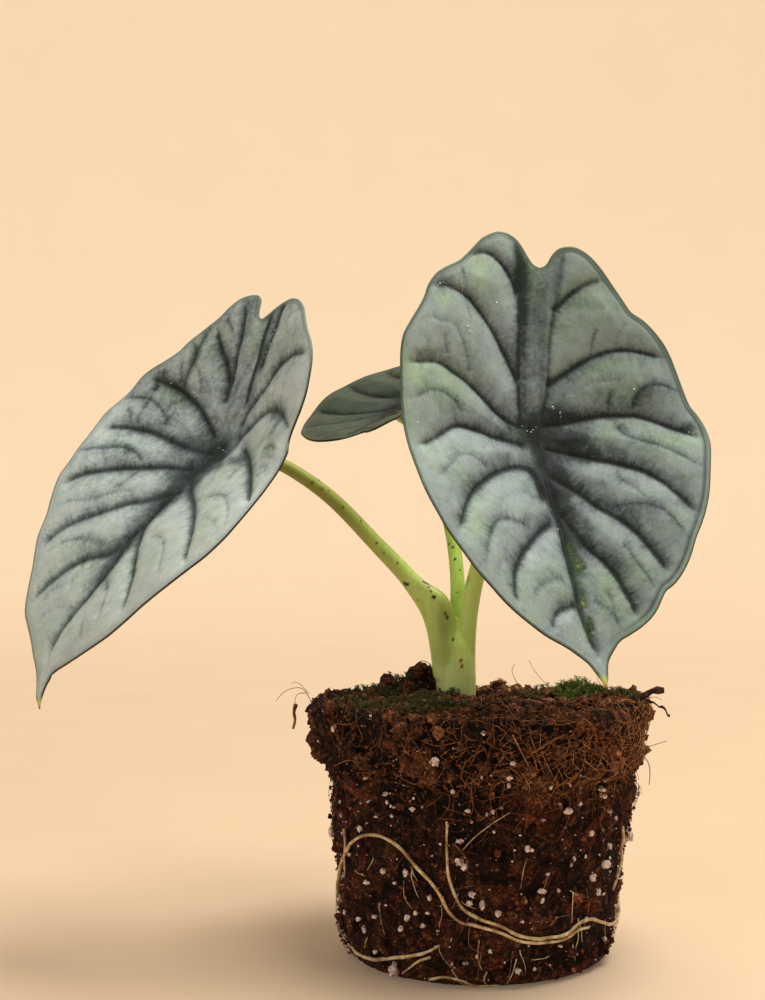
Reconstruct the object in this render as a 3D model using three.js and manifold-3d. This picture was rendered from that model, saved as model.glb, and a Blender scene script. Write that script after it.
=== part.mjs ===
// A young nebula alocasia out of its pot: three shield-shaped leaves on their stalks, standing in the bare plug
// of soil that the roots hold together. Millimetres, +Z up, origin at the middle of the plug's flat base, and the
// front, with the big leaf, towards -Y.
import * as THREE from "three";
import { mergeVertices } from "three/addons/utils/BufferGeometryUtils.js";
import Module from "manifold-3d";

const wasm = await Module();
wasm.setup();

// Driving dimensions
const plugHeight = 71;
const plugBaseRadius = 33.5; // of the flat the plug stands on
const collarRadius = 46; // the top band, which stood against the pot's wider rim
const waistRadius = 40.5; // just under that band
const footRadius = 38;
const collarBottom = 53;
const plugLumps = 1.1; // how far the crumb stands in and out
const seatGap = 0.3; // left between pieces that touch

const stemX = -6; // the stem stands a little left of the plug's middle
const stemRadius = 5.5;
const stemHoleDepth = 11;

const bladeThickness = 1;
const marginThickness = 0.7;
const pillowRise = 1.3; // the blade between two veins above the veins themselves
const veinHalfWidth = 2.4;
const rimWave = 0.7;

const rootRadius = 0.75;
const grainCount = 44; // of perlite, a little larger than life
const grainSizes = [1.3, 2.3];

const plugSpokes = 54;
const bladeRings = 9;

// Each leaf: where its stalk meets it, which way its upper face looks (yaw from the front, towards +X, and pitch
// up), how its tip is turned in its own plane, and how the blade bends: folded across the stalk, drooping
// towards the tip, cupped about the midrib. The margin is a list of [angle from the tip, reach from the stalk].
// A vein is [start ahead of the stalk, start to the side, angle where it meets the margin, bow].
const leafRight = {
  attach: [12, -27, 143],
  yaw: 22.5,
  pitch: 21.5,
  roll: 2.5,
  fold: 0.22,
  droop: 0.0007,
  cup: 0.28,
  spokes: 56,
  margin: [
    [0, 71], [2, 65], [6, 61], [14, 57.5], [21, 54.5], [30, 52], [45, 48], [60, 46], [78, 46], [88, 43.5],
    [102, 41.5], [130, 41], [140, 42.5], [149, 46], [157, 49], [163, 48], [167, 45], [170, 42.5],
  ],
  marginBack: [
    [170, 42.5], [173, 45.5], [177, 50], [182, 52], [191, 49.5], [201, 46.5], [212, 46], [224, 43], [238, 42.5],
    [255, 40], [272, 39], [290, 40.5], [310, 45], [328, 51.5], [342, 57.5], [352, 61.5], [358, 65], [360, 71],
  ],
  veins: [
    [0, 0, 177, 0.02], [0, 0, 161, -0.04],
    [-27, 0, 190, -0.18], [-7, -2, 209, -0.16], [0, 0, 244, -0.12], [2, 0, 278, -0.12], [10, 0, 312, -0.14],
    [28, 0, 338, -0.16], [48, 0, 349, -0.14],
    [-31, 11, 147, 0.15], [-12, 6, 113, 0.13], [0, 0, 81, 0.13], [2, 0, 51, 0.11], [11, 0, 28, 0.08],
    [24, 0, 13, 0.07],
  ],
};

const leafLeft = {
  attach: [-69, -8, 138],
  yaw: -44.5,
  pitch: 34.5,
  roll: -17,
  fold: 0.31,
  droop: 0.0033,
  cup: 0.25,
  spokes: 56,
  margin: [
    [4, 83.5], [7, 75.5], [11, 68.5], [20, 62], [30, 57], [51, 50.5], [60, 48], [67, 44.5], [76, 41], [90, 37.8],
    [106, 35.2], [114, 36.8], [126, 38.8], [155, 40], [164, 41], [172, 42.8], [180, 42.6], [187, 40], [193, 35.6],
  ],
  marginBack: [
    [193, 35.6], [195, 39.5], [199, 41.8], [206, 40.8], [216, 37.5], [227, 35.5], [237, 34.7], [248, 36.5],
    [262, 39.8], [278, 41.5], [290, 43], [304, 46], [318, 50.5], [330, 55.5], [340, 62], [350, 69.5], [358, 76],
    [364, 83.5],
  ],
  veins: [
    [0, 0, 202, 0.05], [0, 0, 182, 0.04],
    [-12, -4, 220, -0.05], [0, 0, 260, -0.14], [2, 0, 287, -0.07], [6, 0, 313, -0.06], [17, 0, 333, -0.12],
    [35, 1, 345, -0.16], [54, 0, 353, -0.16],
    [-14, 2, 145, 0.14], [-1, 2, 109, 0.22], [3, 0, 74, 0.13], [15, 1, 48, 0.06], [35, 1, 24, 0.12],
  ],
};

const leafBack = {
  attach: [-21.5, 33, 148.4],
  yaw: -56,
  pitch: 63,
  roll: 214,
  fold: 0.2,
  droop: 0.0042,
  cup: 0.2,
  spokes: 36,
  margin: [
    [0, 51], [3, 44.5], [10, 41], [20, 38], [32, 35], [48, 32], [65, 30], [90, 28], [110, 27.5], [130, 29],
    [148, 31.5], [160, 33.5], [170, 32.5], [176, 29.5], [180, 27.5],
  ],
  marginBack: [
    [180, 27.5], [185, 30.5], [192, 33.5], [203, 32.5], [216, 30], [235, 28], [255, 27.5], [275, 28.5], [297, 30.5],
    [316, 33.5], [331, 37], [344, 40], [353, 42.5], [357, 45], [360, 51],
  ],
  veins: [
    [0, 0, 172, 0.03], [0, 0, 188, -0.03],
    [-8, -2, 212, -0.14], [0, 0, 247, -0.12], [2, 0, 281, -0.12], [9, 0, 315, -0.12], [21, 0, 339, -0.14],
    [-8, 2, 148, 0.14], [0, 0, 113, 0.12], [2, 0, 79, 0.12], [9, 0, 45, 0.12], [21, 0, 21, 0.14],
  ],
};

// Each stalk's centre line from inside the stem to the underside of its leaf, its radius at both ends, and the
// height where it leaves the sheath that belongs to the stem.
const stalkLeft = {
  path: [
    [-8, -0.6, 76], [-9.4, -0.8, 86], [-12.4, -0.5, 94.5], [-18.7, 0.3, 104.5], [-27.2, 0.6, 112.5],
    [-40.5, 0.2, 126], [-52.5, -2, 133.6], [-60.5, -4.5, 136.4],
  ],
  radii: [4.1, 1.65],
  leaves: 100,
};
const stalkRight = {
  path: [
    [-3.7, -0.6, 76], [-3.2, -0.6, 88], [-2, -0.7, 97], [0.3, -1.5, 107], [2.8, -4, 118], [5.4, -8.5, 129],
    [8.6, -17, 138.2],
  ],
  radii: [3, 1.7],
  leaves: 93,
};
const stalkBack = {
  path: [
    [-6, 1.8, 76], [-5.5, 2.6, 90], [-5.4, 5, 101], [-6.6, 9.5, 113], [-9.6, 15.5, 125], [-14.6, 23, 137.5],
    [-19, 29.5, 145],
  ],
  radii: [2.5, 1.5],
  leaves: 94,
};

// The roots that lie on the plug: [degrees round from the front towards +X, height].
const roots = {
  root_long: [
    [-14, 44], [-14, 36], [-13, 29], [-9, 22.5], [-2, 19], [6, 17], [14, 14], [23, 13], [34, 13.5], [42, 15.2],
    [50, 15.2], [60, 12.8], [72, 11], [88, 14], [104, 20], [118, 22],
  ],
  root_left: [
    [-128, 20], [-112, 14], [-98, 11.5], [-88, 15], [-80, 22], [-67, 30], [-55, 36], [-43, 38.5], [-34, 37.2],
    [-27, 33], [-20, 28], [-16, 24.5], [-13.5, 20.8], [-9, 17.6], [-3, 15.8], [6, 14], [14, 11.4], [24, 10.6],
    [33, 10.8], [42, 12.2], [48, 12],
  ],
  root_foot: [
    [-74, 5], [-62, 4.2], [-50, 4.4], [-38, 6.6], [-26, 8.6], [-17, 11.5],
  ],
  root_right: [[66, 38], [71, 32.5], [73, 27], [69, 20.5]],
};

// The twig that sticks out of the right rim: root end inside the plug, then its free end.
const twig = { from: [33, -8, 68.5], to: [49.5, -11, 72.8], radii: [1.1, 0.6] };

// Moss cushions on top of the plug: middle, half widths and height.
const mossPatches = {
  moss_right: { at: [27.5, 1], half: [7, 7.5], height: 2.2, tufts: 14 },
  moss_front: { at: [-18, -24], half: [14, 9], height: 1.6, tufts: 16 },
};

// Lumps of soil that stand on the plug's top: place, height and spread.
const clumps = [
  { at: [-14.5, 4], height: 8.5, spread: 4.4 },
  { at: [-25, 1], height: 4.5, spread: 2.2 },
  { at: [6, 3], height: 3.6, spread: 3 },
  { at: [30, -20], height: 1.8, spread: 5 },
];
const backSlope = 0.11; // the top falls away towards the back
// Coarse coir stands out of the right side under the collar: degrees round, height, how far, and its spreads.
const coirBulge = { turn: 84, height: 46, out: 2.8, turnSpread: 22, heightSpread: 8 };

// Seeded draws, so that the same crumb and grains come out each time.
function seeded(seed) {
  let state = seed;
  return () => {
    state = (state + 0x6d2b79f5) | 0;
    let t = Math.imul(state ^ (state >>> 15), 1 | state);
    t = (t + Math.imul(t ^ (t >>> 7), 61 | t)) ^ t;
    return ((t ^ (t >>> 14)) >>> 0) / 4294967296;
  };
}

const radians = THREE.MathUtils.degToRad;

function closedGeometry(points, faces) {
  const geometry = new THREE.BufferGeometry();
  geometry.setAttribute("position", new THREE.Float32BufferAttribute(points.flat(), 3));
  geometry.setIndex(faces.flat());
  return geometry;
}

function solidOf(geometry) {
  const bare = new THREE.BufferGeometry();
  bare.setAttribute("position", geometry.getAttribute("position"));
  bare.setIndex(geometry.index);
  const merged = mergeVertices(bare, 1e-4);
  const vertProperties = new Float32Array(merged.attributes.position.array);
  const triVerts = new Uint32Array(merged.index.array);
  return new wasm.Manifold(new wasm.Mesh({ numProp: 3, vertProperties, triVerts }));
}

function geometryOf(solid) {
  const mesh = solid.getMesh();
  const geometry = new THREE.BufferGeometry();
  geometry.setAttribute("position", new THREE.BufferAttribute(new Float32Array(mesh.vertProperties), 3));
  geometry.setIndex(new THREE.BufferAttribute(new Uint32Array(mesh.triVerts), 1));
  return geometry;
}

// Cutting can leave crumbs beside the main body, and only that body stays.
function largestBody(solid) {
  return solid.decompose().reduce((a, b) => (b.volume() > a.volume() ? b : a));
}

// A round closed tube along part of a curve, with its own radius all the way.
function sweptTube(curve, from, to, radiusAt, steps, sides) {
  const frames = curve.computeFrenetFrames(200, false);
  const points = [];
  const faces = [];
  for (let i = 0; i <= steps; i++) {
    const t = from + ((to - from) * i) / steps;
    const middle = curve.getPointAt(t);
    const k = Math.round(t * 200);
    for (let j = 0; j < sides; j++) {
      const turn = (2 * Math.PI * j) / sides;
      const out = frames.normals[k].clone().multiplyScalar(Math.cos(turn));
      out.addScaledVector(frames.binormals[k], Math.sin(turn));
      points.push(middle.clone().addScaledVector(out, radiusAt(t)).toArray());
    }
  }
  for (let i = 0; i < steps; i++) {
    for (let j = 0; j < sides; j++) {
      const a = i * sides + j;
      const b = i * sides + ((j + 1) % sides);
      faces.push([a, b, a + sides], [b, b + sides, a + sides]);
    }
  }
  const last = steps * sides;
  for (let j = 1; j < sides - 1; j++) {
    faces.push([0, j + 1, j], [last, last + j, last + j + 1]);
  }
  return closedGeometry(points, faces);
}

// Plug of soil

const plugProfile = [
  [0, plugBaseRadius],
  [1.3, plugBaseRadius + 2.2],
  [3.6, footRadius - 1],
  [8, footRadius + 0.2],
  [20, footRadius + 1],
  [34, waistRadius - 0.2],
  [48, waistRadius + 0.3],
  [collarBottom - 1, waistRadius + 0.7],
  [collarBottom + 1.5, collarRadius - 0.8],
  [63, collarRadius],
  [68, collarRadius + 0.8],
  [plugHeight - 0.6, collarRadius - 0.4],
];
const sideHeights = [
  1.3, 3.6, 8, 12.5, 17, 21.5, 26, 30.5, 35, 39.5, 44, 48, collarBottom - 1, collarBottom + 1.5, 58, 62, 66,
  plugHeight - 0.6,
];
const topRings = 9;
const crumbDepth = 1.7; // draws a point of the side in or out by up to half of this

// Soft lumps all round, the same wherever they are asked for.
function lumps(turn, height) {
  const a = Math.sin(3 * turn + 0.11 * height) + 0.8 * Math.sin(7 * turn - 0.23 * height + 1.3);
  const b = 0.6 * Math.sin(13 * turn + 0.41 * height + 0.7) + 0.6 * Math.cos(9 * turn + 0.55 * height);
  return (a + b) / 3;
}

function sideRadius(turn, height) {
  let i = 1;
  while (i < plugProfile.length - 1 && plugProfile[i][0] < height) i++;
  const [z0, r0] = plugProfile[i - 1];
  const [z1, r1] = plugProfile[i];
  const share = THREE.MathUtils.clamp((height - z0) / (z1 - z0), 0, 1);
  const rough = plugLumps * Math.min(1, height / 6) * (height > collarBottom ? 1.5 : 1);
  const round = Math.atan2(Math.sin(turn - radians(coirBulge.turn)), Math.cos(turn - radians(coirBulge.turn)));
  const across = round / radians(coirBulge.turnSpread);
  const above = (height - coirBulge.height) / coirBulge.heightSpread;
  const bulge = height < collarBottom ? coirBulge.out * Math.exp(-(across ** 2) - above ** 2) : 0;
  return r0 + (r1 - r0) * share + rough * lumps(turn, height) + bulge;
}

function topHeight(x, y) {
  const r = Math.hypot(x, y);
  let z = plugHeight - backSlope * Math.max(0, y) + 0.5 * Math.sin(0.31 * x + 0.7) * Math.cos(0.27 * y);
  z += 0.5 * lumps(Math.atan2(x, -y), r);
  for (const clump of clumps) {
    const away = (x - clump.at[0]) ** 2 + (y - clump.at[1]) ** 2;
    z += clump.height * Math.exp(-away / (2 * clump.spread ** 2));
  }
  return z;
}

function onSide(turn, height, out) {
  const r = sideRadius(turn, height) + out;
  return [r * Math.sin(turn), -r * Math.cos(turn), height];
}

// The plug's surface, moved outwards by "out" where something has to keep clear of it.
function plugGeometry(out) {
  const random = seeded(11);
  const points = [[0, 0, 0]];
  const faces = [];
  const rows = [];
  const addRow = (place) => {
    rows.push(points.length);
    for (let j = 0; j < plugSpokes; j++) points.push(place((2 * Math.PI * j) / plugSpokes));
  };
  addRow((turn) => [plugBaseRadius * Math.sin(turn), -plugBaseRadius * Math.cos(turn), 0]);
  for (const height of sideHeights) {
    const crumb = height > 5 ? crumbDepth : 0.3;
    const lift = height > 5 && height < plugHeight - 2 ? 1.2 : 0;
    addRow((turn) => {
      const here = height + lift * (random() - 0.5);
      const fall = height > 66 ? backSlope * Math.max(0, -collarRadius * Math.cos(turn)) : 0;
      const [x, y, z] = onSide(turn, here, out + crumb * (random() - 0.5));
      return [x, y, z - fall];
    });
  }
  for (let i = 1; i < topRings; i++) {
    const share = 1 - i / topRings;
    addRow((turn) => {
      const r = share * (collarRadius - 1) + 0.8 * (random() - 0.5);
      const x = r * Math.sin(turn);
      const y = -r * Math.cos(turn);
      return [x, y, topHeight(x, y) + out + crumbDepth * (random() - 0.5)];
    });
  }
  const middle = points.length;
  points.push([0, 0, topHeight(0, 0) + out]);
  for (let j = 0; j < plugSpokes; j++) {
    const k = (j + 1) % plugSpokes;
    faces.push([0, rows[0] + k, rows[0] + j]);
    for (let i = 0; i + 1 < rows.length; i++) {
      const a = rows[i] + j;
      const b = rows[i] + k;
      const c = rows[i + 1] + j;
      const d = rows[i + 1] + k;
      faces.push([a, b, d], [a, d, c]);
    }
    const top = rows[rows.length - 1];
    faces.push([top + j, top + k, middle]);
  }
  return closedGeometry(points, faces);
}

// A grain of perlite: an octahedron sunk to its waist in the soil.
function grain(place, size, random) {
  const geometry = new THREE.OctahedronGeometry(size);
  geometry.rotateX(random() * 3);
  geometry.rotateY(random() * 3);
  geometry.translate(...place);
  geometry.deleteAttribute("normal");
  geometry.deleteAttribute("uv");
  return solidOf(mergeVertices(geometry));
}

function addGrains(plug, besides) {
  const random = seeded(23);
  let solid = plug;
  let placed = 0;
  while (placed < grainCount) {
    const turn = 2 * Math.PI * random();
    const height = 6 + 43 * random();
    const size = grainSizes[0] + (grainSizes[1] - grainSizes[0]) * random() ** 2;
    const place = onSide(turn, height, 0);
    const near = besides.some((p) => p.distanceTo(new THREE.Vector3(...place)) < 5);
    const body = grain(place, size, random);
    if (!near) {
      solid = solid.add(body);
      placed += 1;
    }
  }
  return solid;
}

function holeFor(radius, depth, height) {
  const profile = [
    new THREE.Vector2(0, -depth),
    new THREE.Vector2(radius, -depth),
    new THREE.Vector2(radius, height),
    new THREE.Vector2(0, height),
  ];
  const geometry = new THREE.LatheGeometry(profile, 20);
  geometry.rotateX(Math.PI / 2);
  geometry.translate(stemX, 0, plugHeight);
  return solidOf(geometry);
}

// Roots on the plug

function rootCurve(route) {
  const points = route.map(([degrees, height]) => {
    const [x, y, z] = onSide(radians(degrees), height, 0.35);
    return new THREE.Vector3(x, y, z);
  });
  return new THREE.CatmullRomCurve3(points, false, "centripetal");
}

function rootGeometry(curve, extra) {
  const steps = Math.round(curve.getLength() / 3.6);
  const taper = (t) => (rootRadius + extra) * (1 - 0.35 * Math.abs(2 * t - 1) ** 4);
  return sweptTube(curve, 0, 1, taper, steps, 6);
}

function twigGeometry(extra) {
  const curve = new THREE.LineCurve3(new THREE.Vector3(...twig.from), new THREE.Vector3(...twig.to));
  const radiusAt = (t) => twig.radii[0] + (twig.radii[1] - twig.radii[0]) * t + extra;
  return sweptTube(curve, 0, 1, radiusAt, 5, 7);
}

// Moss: a low dome with tufts on it, cut clear of the soil below.
function mossSolid(patch, clearOf, seed) {
  const random = seeded(seed);
  const [x0, y0] = patch.at;
  const dome = new THREE.SphereGeometry(1, 12, 6);
  dome.rotateX(Math.PI / 2);
  dome.scale(patch.half[0], patch.half[1], patch.height * 1.6);
  dome.translate(x0, y0, topHeight(x0, y0));
  let solid = solidOf(dome);
  for (let i = 0; i < patch.tufts; i++) {
    const turn = i * 2.4;
    const share = 0.85 * Math.sqrt((i + 0.5) / patch.tufts);
    const x = x0 + share * patch.half[0] * Math.cos(turn);
    const y = y0 + share * patch.half[1] * Math.sin(turn);
    const tuft = new THREE.ConeGeometry(1.7, patch.height * 1.8, 4);
    tuft.rotateX(Math.PI / 2);
    tuft.rotateY(0.5 * (random() - 0.5));
    tuft.translate(x, y, topHeight(x, y) + patch.height * (1.25 - 0.5 * share));
    solid = solid.add(solidOf(tuft));
  }
  return largestBody(solid.subtract(clearOf));
}

// Leaf blades

function leafAxes(leaf) {
  const yaw = radians(leaf.yaw);
  const pitch = radians(leaf.pitch);
  const up = new THREE.Vector3(
    Math.sin(yaw) * Math.cos(pitch),
    -Math.cos(yaw) * Math.cos(pitch),
    Math.sin(pitch),
  );
  const down = new THREE.Vector3(0, 0, -1);
  const ahead = down.addScaledVector(up, -down.dot(up)).normalize();
  ahead.applyAxisAngle(up, radians(leaf.roll));
  const side = new THREE.Vector3().crossVectors(up, ahead);
  return { ahead, side, up };
}

function marginCurve(list) {
  return new THREE.SplineCurve(
    list.map(([degrees, reach]) => {
      const turn = radians(degrees);
      return new THREE.Vector2(reach * Math.cos(turn), reach * Math.sin(turn));
    }),
  );
}

// Margin points at even steps, with the tip and the notch both on the list.
function marginPoints(leaf) {
  const half = leaf.spokes / 2;
  const first = marginCurve(leaf.margin).getSpacedPoints(half);
  const second = marginCurve(leaf.marginBack).getSpacedPoints(half);
  return [...first.slice(0, -1), ...second.slice(0, -1)];
}

function veinLines(leaf) {
  const fine = [...marginCurve(leaf.margin).getSpacedPoints(90), ...marginCurve(leaf.marginBack).getSpacedPoints(90)];
  const tip = fine[0];
  const lines = [[new THREE.Vector2(0, 0), tip.clone().multiplyScalar(0.97)]];
  for (const [u, v, degrees, bow] of leaf.veins) {
    const aim = new THREE.Vector2(Math.cos(radians(degrees)), Math.sin(radians(degrees)));
    const nearest = fine.reduce((a, b) => (b.clone().normalize().dot(aim) > a.clone().normalize().dot(aim) ? b : a));
    const start = new THREE.Vector2(u, v);
    const end = nearest.clone().multiplyScalar(0.93);
    const chord = end.clone().sub(start);
    const bend = start.clone().add(end).multiplyScalar(0.5);
    bend.add(new THREE.Vector2(-chord.y, chord.x).multiplyScalar(2 * bow));
    lines.push(new THREE.QuadraticBezierCurve(start, bend, end).getPoints(8));
  }
  return lines;
}

function distanceTo(lines, point) {
  let nearest = Infinity;
  for (const line of lines) {
    for (let i = 1; i < line.length; i++) {
      const along = line[i].clone().sub(line[i - 1]);
      const share = point.clone().sub(line[i - 1]).dot(along) / along.lengthSq();
      const foot = line[i - 1].clone().addScaledVector(along, THREE.MathUtils.clamp(share, 0, 1));
      nearest = Math.min(nearest, foot.distanceTo(point));
    }
  }
  return nearest;
}

// How far the blade stands off its plane: the bends of the whole blade, the pillows between the veins, and the
// waves of the margin.
function bladeHeight(leaf, lines, point, share, k) {
  const soft = (x) => Math.sqrt(x * x + 36) - 6;
  let w = leaf.fold * soft(point.x) - leaf.droop * Math.max(0, point.x) ** 2 + leaf.cup * soft(point.y);
  const pillow = 1 - Math.exp(-((distanceTo(lines, point) / veinHalfWidth) ** 2));
  w += pillowRise * pillow * Math.min(1, 4 * share) * Math.min(1, 6 * (1.02 - share));
  return w + rimWave * share ** 6 * Math.sin(1.9 * k);
}

// Both faces are split into triangles alike, "extra" thicker where a stalk is cut to fit.
function bladeGeometry(leaf, extra) {
  const { ahead, side, up } = leafAxes(leaf);
  const rim = marginPoints(leaf);
  const lines = veinLines(leaf);
  const spokes = rim.length;
  const attach = new THREE.Vector3(...leaf.attach);
  const place = (point, w) =>
    attach.clone().addScaledVector(ahead, point.x).addScaledVector(side, point.y).addScaledVector(up, w).toArray();
  const half = (share) => (bladeThickness + (marginThickness - bladeThickness) * share ** 2) / 2 + extra;
  const points = [];
  const faces = [];
  const centre = new THREE.Vector2(0, 0);
  const w0 = bladeHeight(leaf, lines, centre, 0, 0);
  points.push(place(centre, w0 + half(0)), place(centre, w0 - half(0)));
  for (let i = 1; i <= bladeRings; i++) {
    const share = (i / bladeRings) ** 0.85;
    for (let k = 0; k < spokes; k++) {
      const point = rim[k].clone().multiplyScalar(share);
      const w = bladeHeight(leaf, lines, point, share, k);
      points.push(place(point, w + half(share)), place(point, w - half(share)));
    }
  }
  const at = (i, k, face) => 2 + 2 * ((i - 1) * spokes + (k % spokes)) + face;
  for (let k = 0; k < spokes; k++) {
    faces.push([0, at(1, k, 0), at(1, k + 1, 0)], [1, at(1, k + 1, 1), at(1, k, 1)]);
    for (let i = 1; i < bladeRings; i++) {
      faces.push([at(i, k, 0), at(i + 1, k, 0), at(i + 1, k + 1, 0)]);
      faces.push([at(i, k, 0), at(i + 1, k + 1, 0), at(i, k + 1, 0)]);
      faces.push([at(i, k, 1), at(i + 1, k + 1, 1), at(i + 1, k, 1)]);
      faces.push([at(i, k, 1), at(i, k + 1, 1), at(i + 1, k + 1, 1)]);
    }
    faces.push([at(bladeRings, k, 0), at(bladeRings, k, 1), at(bladeRings, k + 1, 1)]);
    faces.push([at(bladeRings, k, 0), at(bladeRings, k + 1, 1), at(bladeRings, k + 1, 0)]);
  }
  return closedGeometry(points, faces);
}

// Stalks

function stalkCurve(stalk, leaf) {
  const { up } = leafAxes(leaf);
  const end = new THREE.Vector3(...leaf.attach).addScaledVector(up, -0.9);
  const points = stalk.path.map((p) => new THREE.Vector3(...p));
  return new THREE.CatmullRomCurve3([...points, end], false, "centripetal");
}

function stalkRadius(stalk) {
  const [wide, thin] = stalk.radii;
  return (t) => thin + (wide - thin) * (1 - t) ** 1.8;
}

// The share of the curve's length where it reaches a height.
function shareAtHeight(curve, height) {
  let t = 0;
  while (curve.getPointAt(t).z < height) t += 0.002;
  return t;
}

function stalkSolids(stalk, leaf) {
  const curve = stalkCurve(stalk, leaf);
  const split = shareAtHeight(curve, stalk.leaves);
  const gap = seatGap / curve.getLength();
  const radiusAt = stalkRadius(stalk);
  const sheath = solidOf(sweptTube(curve, 0, split, radiusAt, 5, 12));
  const free = solidOf(sweptTube(curve, split + gap, 1, radiusAt, 15, 12));
  const bladeRoom = solidOf(bladeGeometry(leaf, seatGap));
  return { sheath, free: largestBody(free.subtract(bladeRoom)) };
}

// The stem: a short column that stands in the soil and parts into the sheaths of the three stalks.
function stemSolid(sheaths) {
  const profile = [
    new THREE.Vector2(0, -stemHoleDepth + seatGap),
    new THREE.Vector2(stemRadius - 0.9, -stemHoleDepth + seatGap),
    new THREE.Vector2(stemRadius, -stemHoleDepth + 3),
    new THREE.Vector2(stemRadius, 8),
    new THREE.Vector2(stemRadius + 0.2, 14),
    new THREE.Vector2(stemRadius - 0.6, 18),
    new THREE.Vector2(stemRadius - 2.4, 21),
    new THREE.Vector2(0, 22),
  ];
  const column = new THREE.LatheGeometry(profile, 20);
  column.rotateX(Math.PI / 2);
  column.translate(stemX, 0, plugHeight);
  return sheaths.reduce((whole, sheath) => whole.add(sheath), solidOf(column));
}

// The whole plant

const soilBrown = new THREE.MeshStandardMaterial({ color: 0x3b241a, roughness: 0.95, metalness: 0 });
const stalkGreen = new THREE.MeshStandardMaterial({ color: 0x9bb36a, roughness: 0.5, metalness: 0 });
const leafSilver = new THREE.MeshStandardMaterial({ color: 0x8b9a8e, roughness: 0.45, metalness: 0 });
const rootCream = new THREE.MeshStandardMaterial({ color: 0xcdb892, roughness: 0.7, metalness: 0 });
const mossGreen = new THREE.MeshStandardMaterial({ color: 0x42561f, roughness: 0.9, metalness: 0 });
const twigBrown = new THREE.MeshStandardMaterial({ color: 0x2a1b14, roughness: 0.9, metalness: 0 });

const plant = new THREE.Group();

function addNode(parent, name, geometry, material) {
  const mesh = new THREE.Mesh(geometry, material);
  mesh.name = name;
  parent.add(mesh);
}

const rootBall = new THREE.Group();
const crown = new THREE.Group();
plant.add(rootBall, crown);

const rootCurves = Object.entries(roots).map(([name, route]) => [name, rootCurve(route)]);
const besideRoots = rootCurves.flatMap(([, curve]) => curve.getSpacedPoints(40));
let plug = addGrains(solidOf(plugGeometry(0)), besideRoots);
plug = plug.subtract(holeFor(stemRadius + seatGap, stemHoleDepth, 30));
plug = plug.subtract(solidOf(twigGeometry(seatGap)));
for (const [, curve] of rootCurves) plug = plug.subtract(solidOf(rootGeometry(curve, seatGap)));
addNode(rootBall, "root_ball", geometryOf(largestBody(plug)), soilBrown);
for (const [name, curve] of rootCurves) addNode(rootBall, name, rootGeometry(curve, 0), rootCream);
addNode(rootBall, "twig_right", twigGeometry(0), twigBrown);

const mossRoom = solidOf(plugGeometry(seatGap));
Object.entries(mossPatches).forEach(([name, patch], i) => {
  addNode(rootBall, name, geometryOf(mossSolid(patch, mossRoom, 40 + i)), mossGreen);
});

const stalks = {
  left: stalkSolids(stalkLeft, leafLeft),
  right: stalkSolids(stalkRight, leafRight),
  back: stalkSolids(stalkBack, leafBack),
};
const sheaths = Object.values(stalks).map((stalk) => stalk.sheath);
addNode(crown, "stem_base", geometryOf(stemSolid(sheaths)), stalkGreen);
for (const [name, stalk] of Object.entries(stalks)) {
  addNode(crown, "petiole_" + name, geometryOf(stalk.free), stalkGreen);
}
addNode(crown, "leaf_left", bladeGeometry(leafLeft, 0), leafSilver);
addNode(crown, "leaf_right", bladeGeometry(leafRight, 0), leafSilver);
addNode(crown, "leaf_back", bladeGeometry(leafBack, 0), leafSilver);

export default plant;
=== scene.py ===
import math
import bpy
import numpy as np
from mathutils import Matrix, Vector


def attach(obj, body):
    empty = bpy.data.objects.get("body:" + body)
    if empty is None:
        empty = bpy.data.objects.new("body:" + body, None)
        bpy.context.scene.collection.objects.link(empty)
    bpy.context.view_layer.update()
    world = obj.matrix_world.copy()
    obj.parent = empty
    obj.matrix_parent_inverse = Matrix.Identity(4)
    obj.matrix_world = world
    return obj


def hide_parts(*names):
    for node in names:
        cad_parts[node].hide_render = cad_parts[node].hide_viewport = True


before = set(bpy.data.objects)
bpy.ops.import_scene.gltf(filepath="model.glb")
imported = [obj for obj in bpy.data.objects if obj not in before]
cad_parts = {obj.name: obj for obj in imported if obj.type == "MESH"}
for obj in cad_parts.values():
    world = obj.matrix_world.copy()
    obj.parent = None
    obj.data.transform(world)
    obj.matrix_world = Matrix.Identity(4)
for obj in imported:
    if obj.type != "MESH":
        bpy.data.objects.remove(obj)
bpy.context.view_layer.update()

mm = 0.001


# Small helpers

def pick(*pieces):
    bpy.ops.object.select_all(action="DESELECT")
    for piece in pieces:
        piece.select_set(True)
    bpy.context.view_layer.objects.active = pieces[0]


def placesOf(piece):  # a mesh's points, in millimetres
    flat = np.empty(len(piece.data.vertices) * 3)
    piece.data.vertices.foreach_get("co", flat)
    return flat.reshape(-1, 3) / mm


def movePoints(piece, points):
    piece.data.vertices.foreach_set("co", (np.asarray(points) * mm).ravel())
    piece.data.update()


def meshFrom(name, points, faces):
    mesh = bpy.data.meshes.new(name)
    mesh.from_pydata((np.asarray(points) * mm).tolist(), [], np.asarray(faces).tolist())
    mesh.update()
    piece = bpy.data.objects.new(name, mesh)
    bpy.context.scene.collection.objects.link(piece)
    return piece


def worked(piece, kind, **values):  # adds a modifier and applies it
    pick(piece)
    modifier = piece.modifiers.new(kind.lower(), kind)
    for key, value in values.items():
        setattr(modifier, key, value)
    bpy.ops.object.modifier_apply(modifier=modifier.name)
    return piece


def written(piece, **fields):  # one number for each point of the mesh, for the material to read
    for key, value in fields.items():
        layer = piece.data.attributes.new(key, "FLOAT", "POINT")
        layer.data.foreach_set("value", np.asarray(value, dtype=np.float32))


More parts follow.
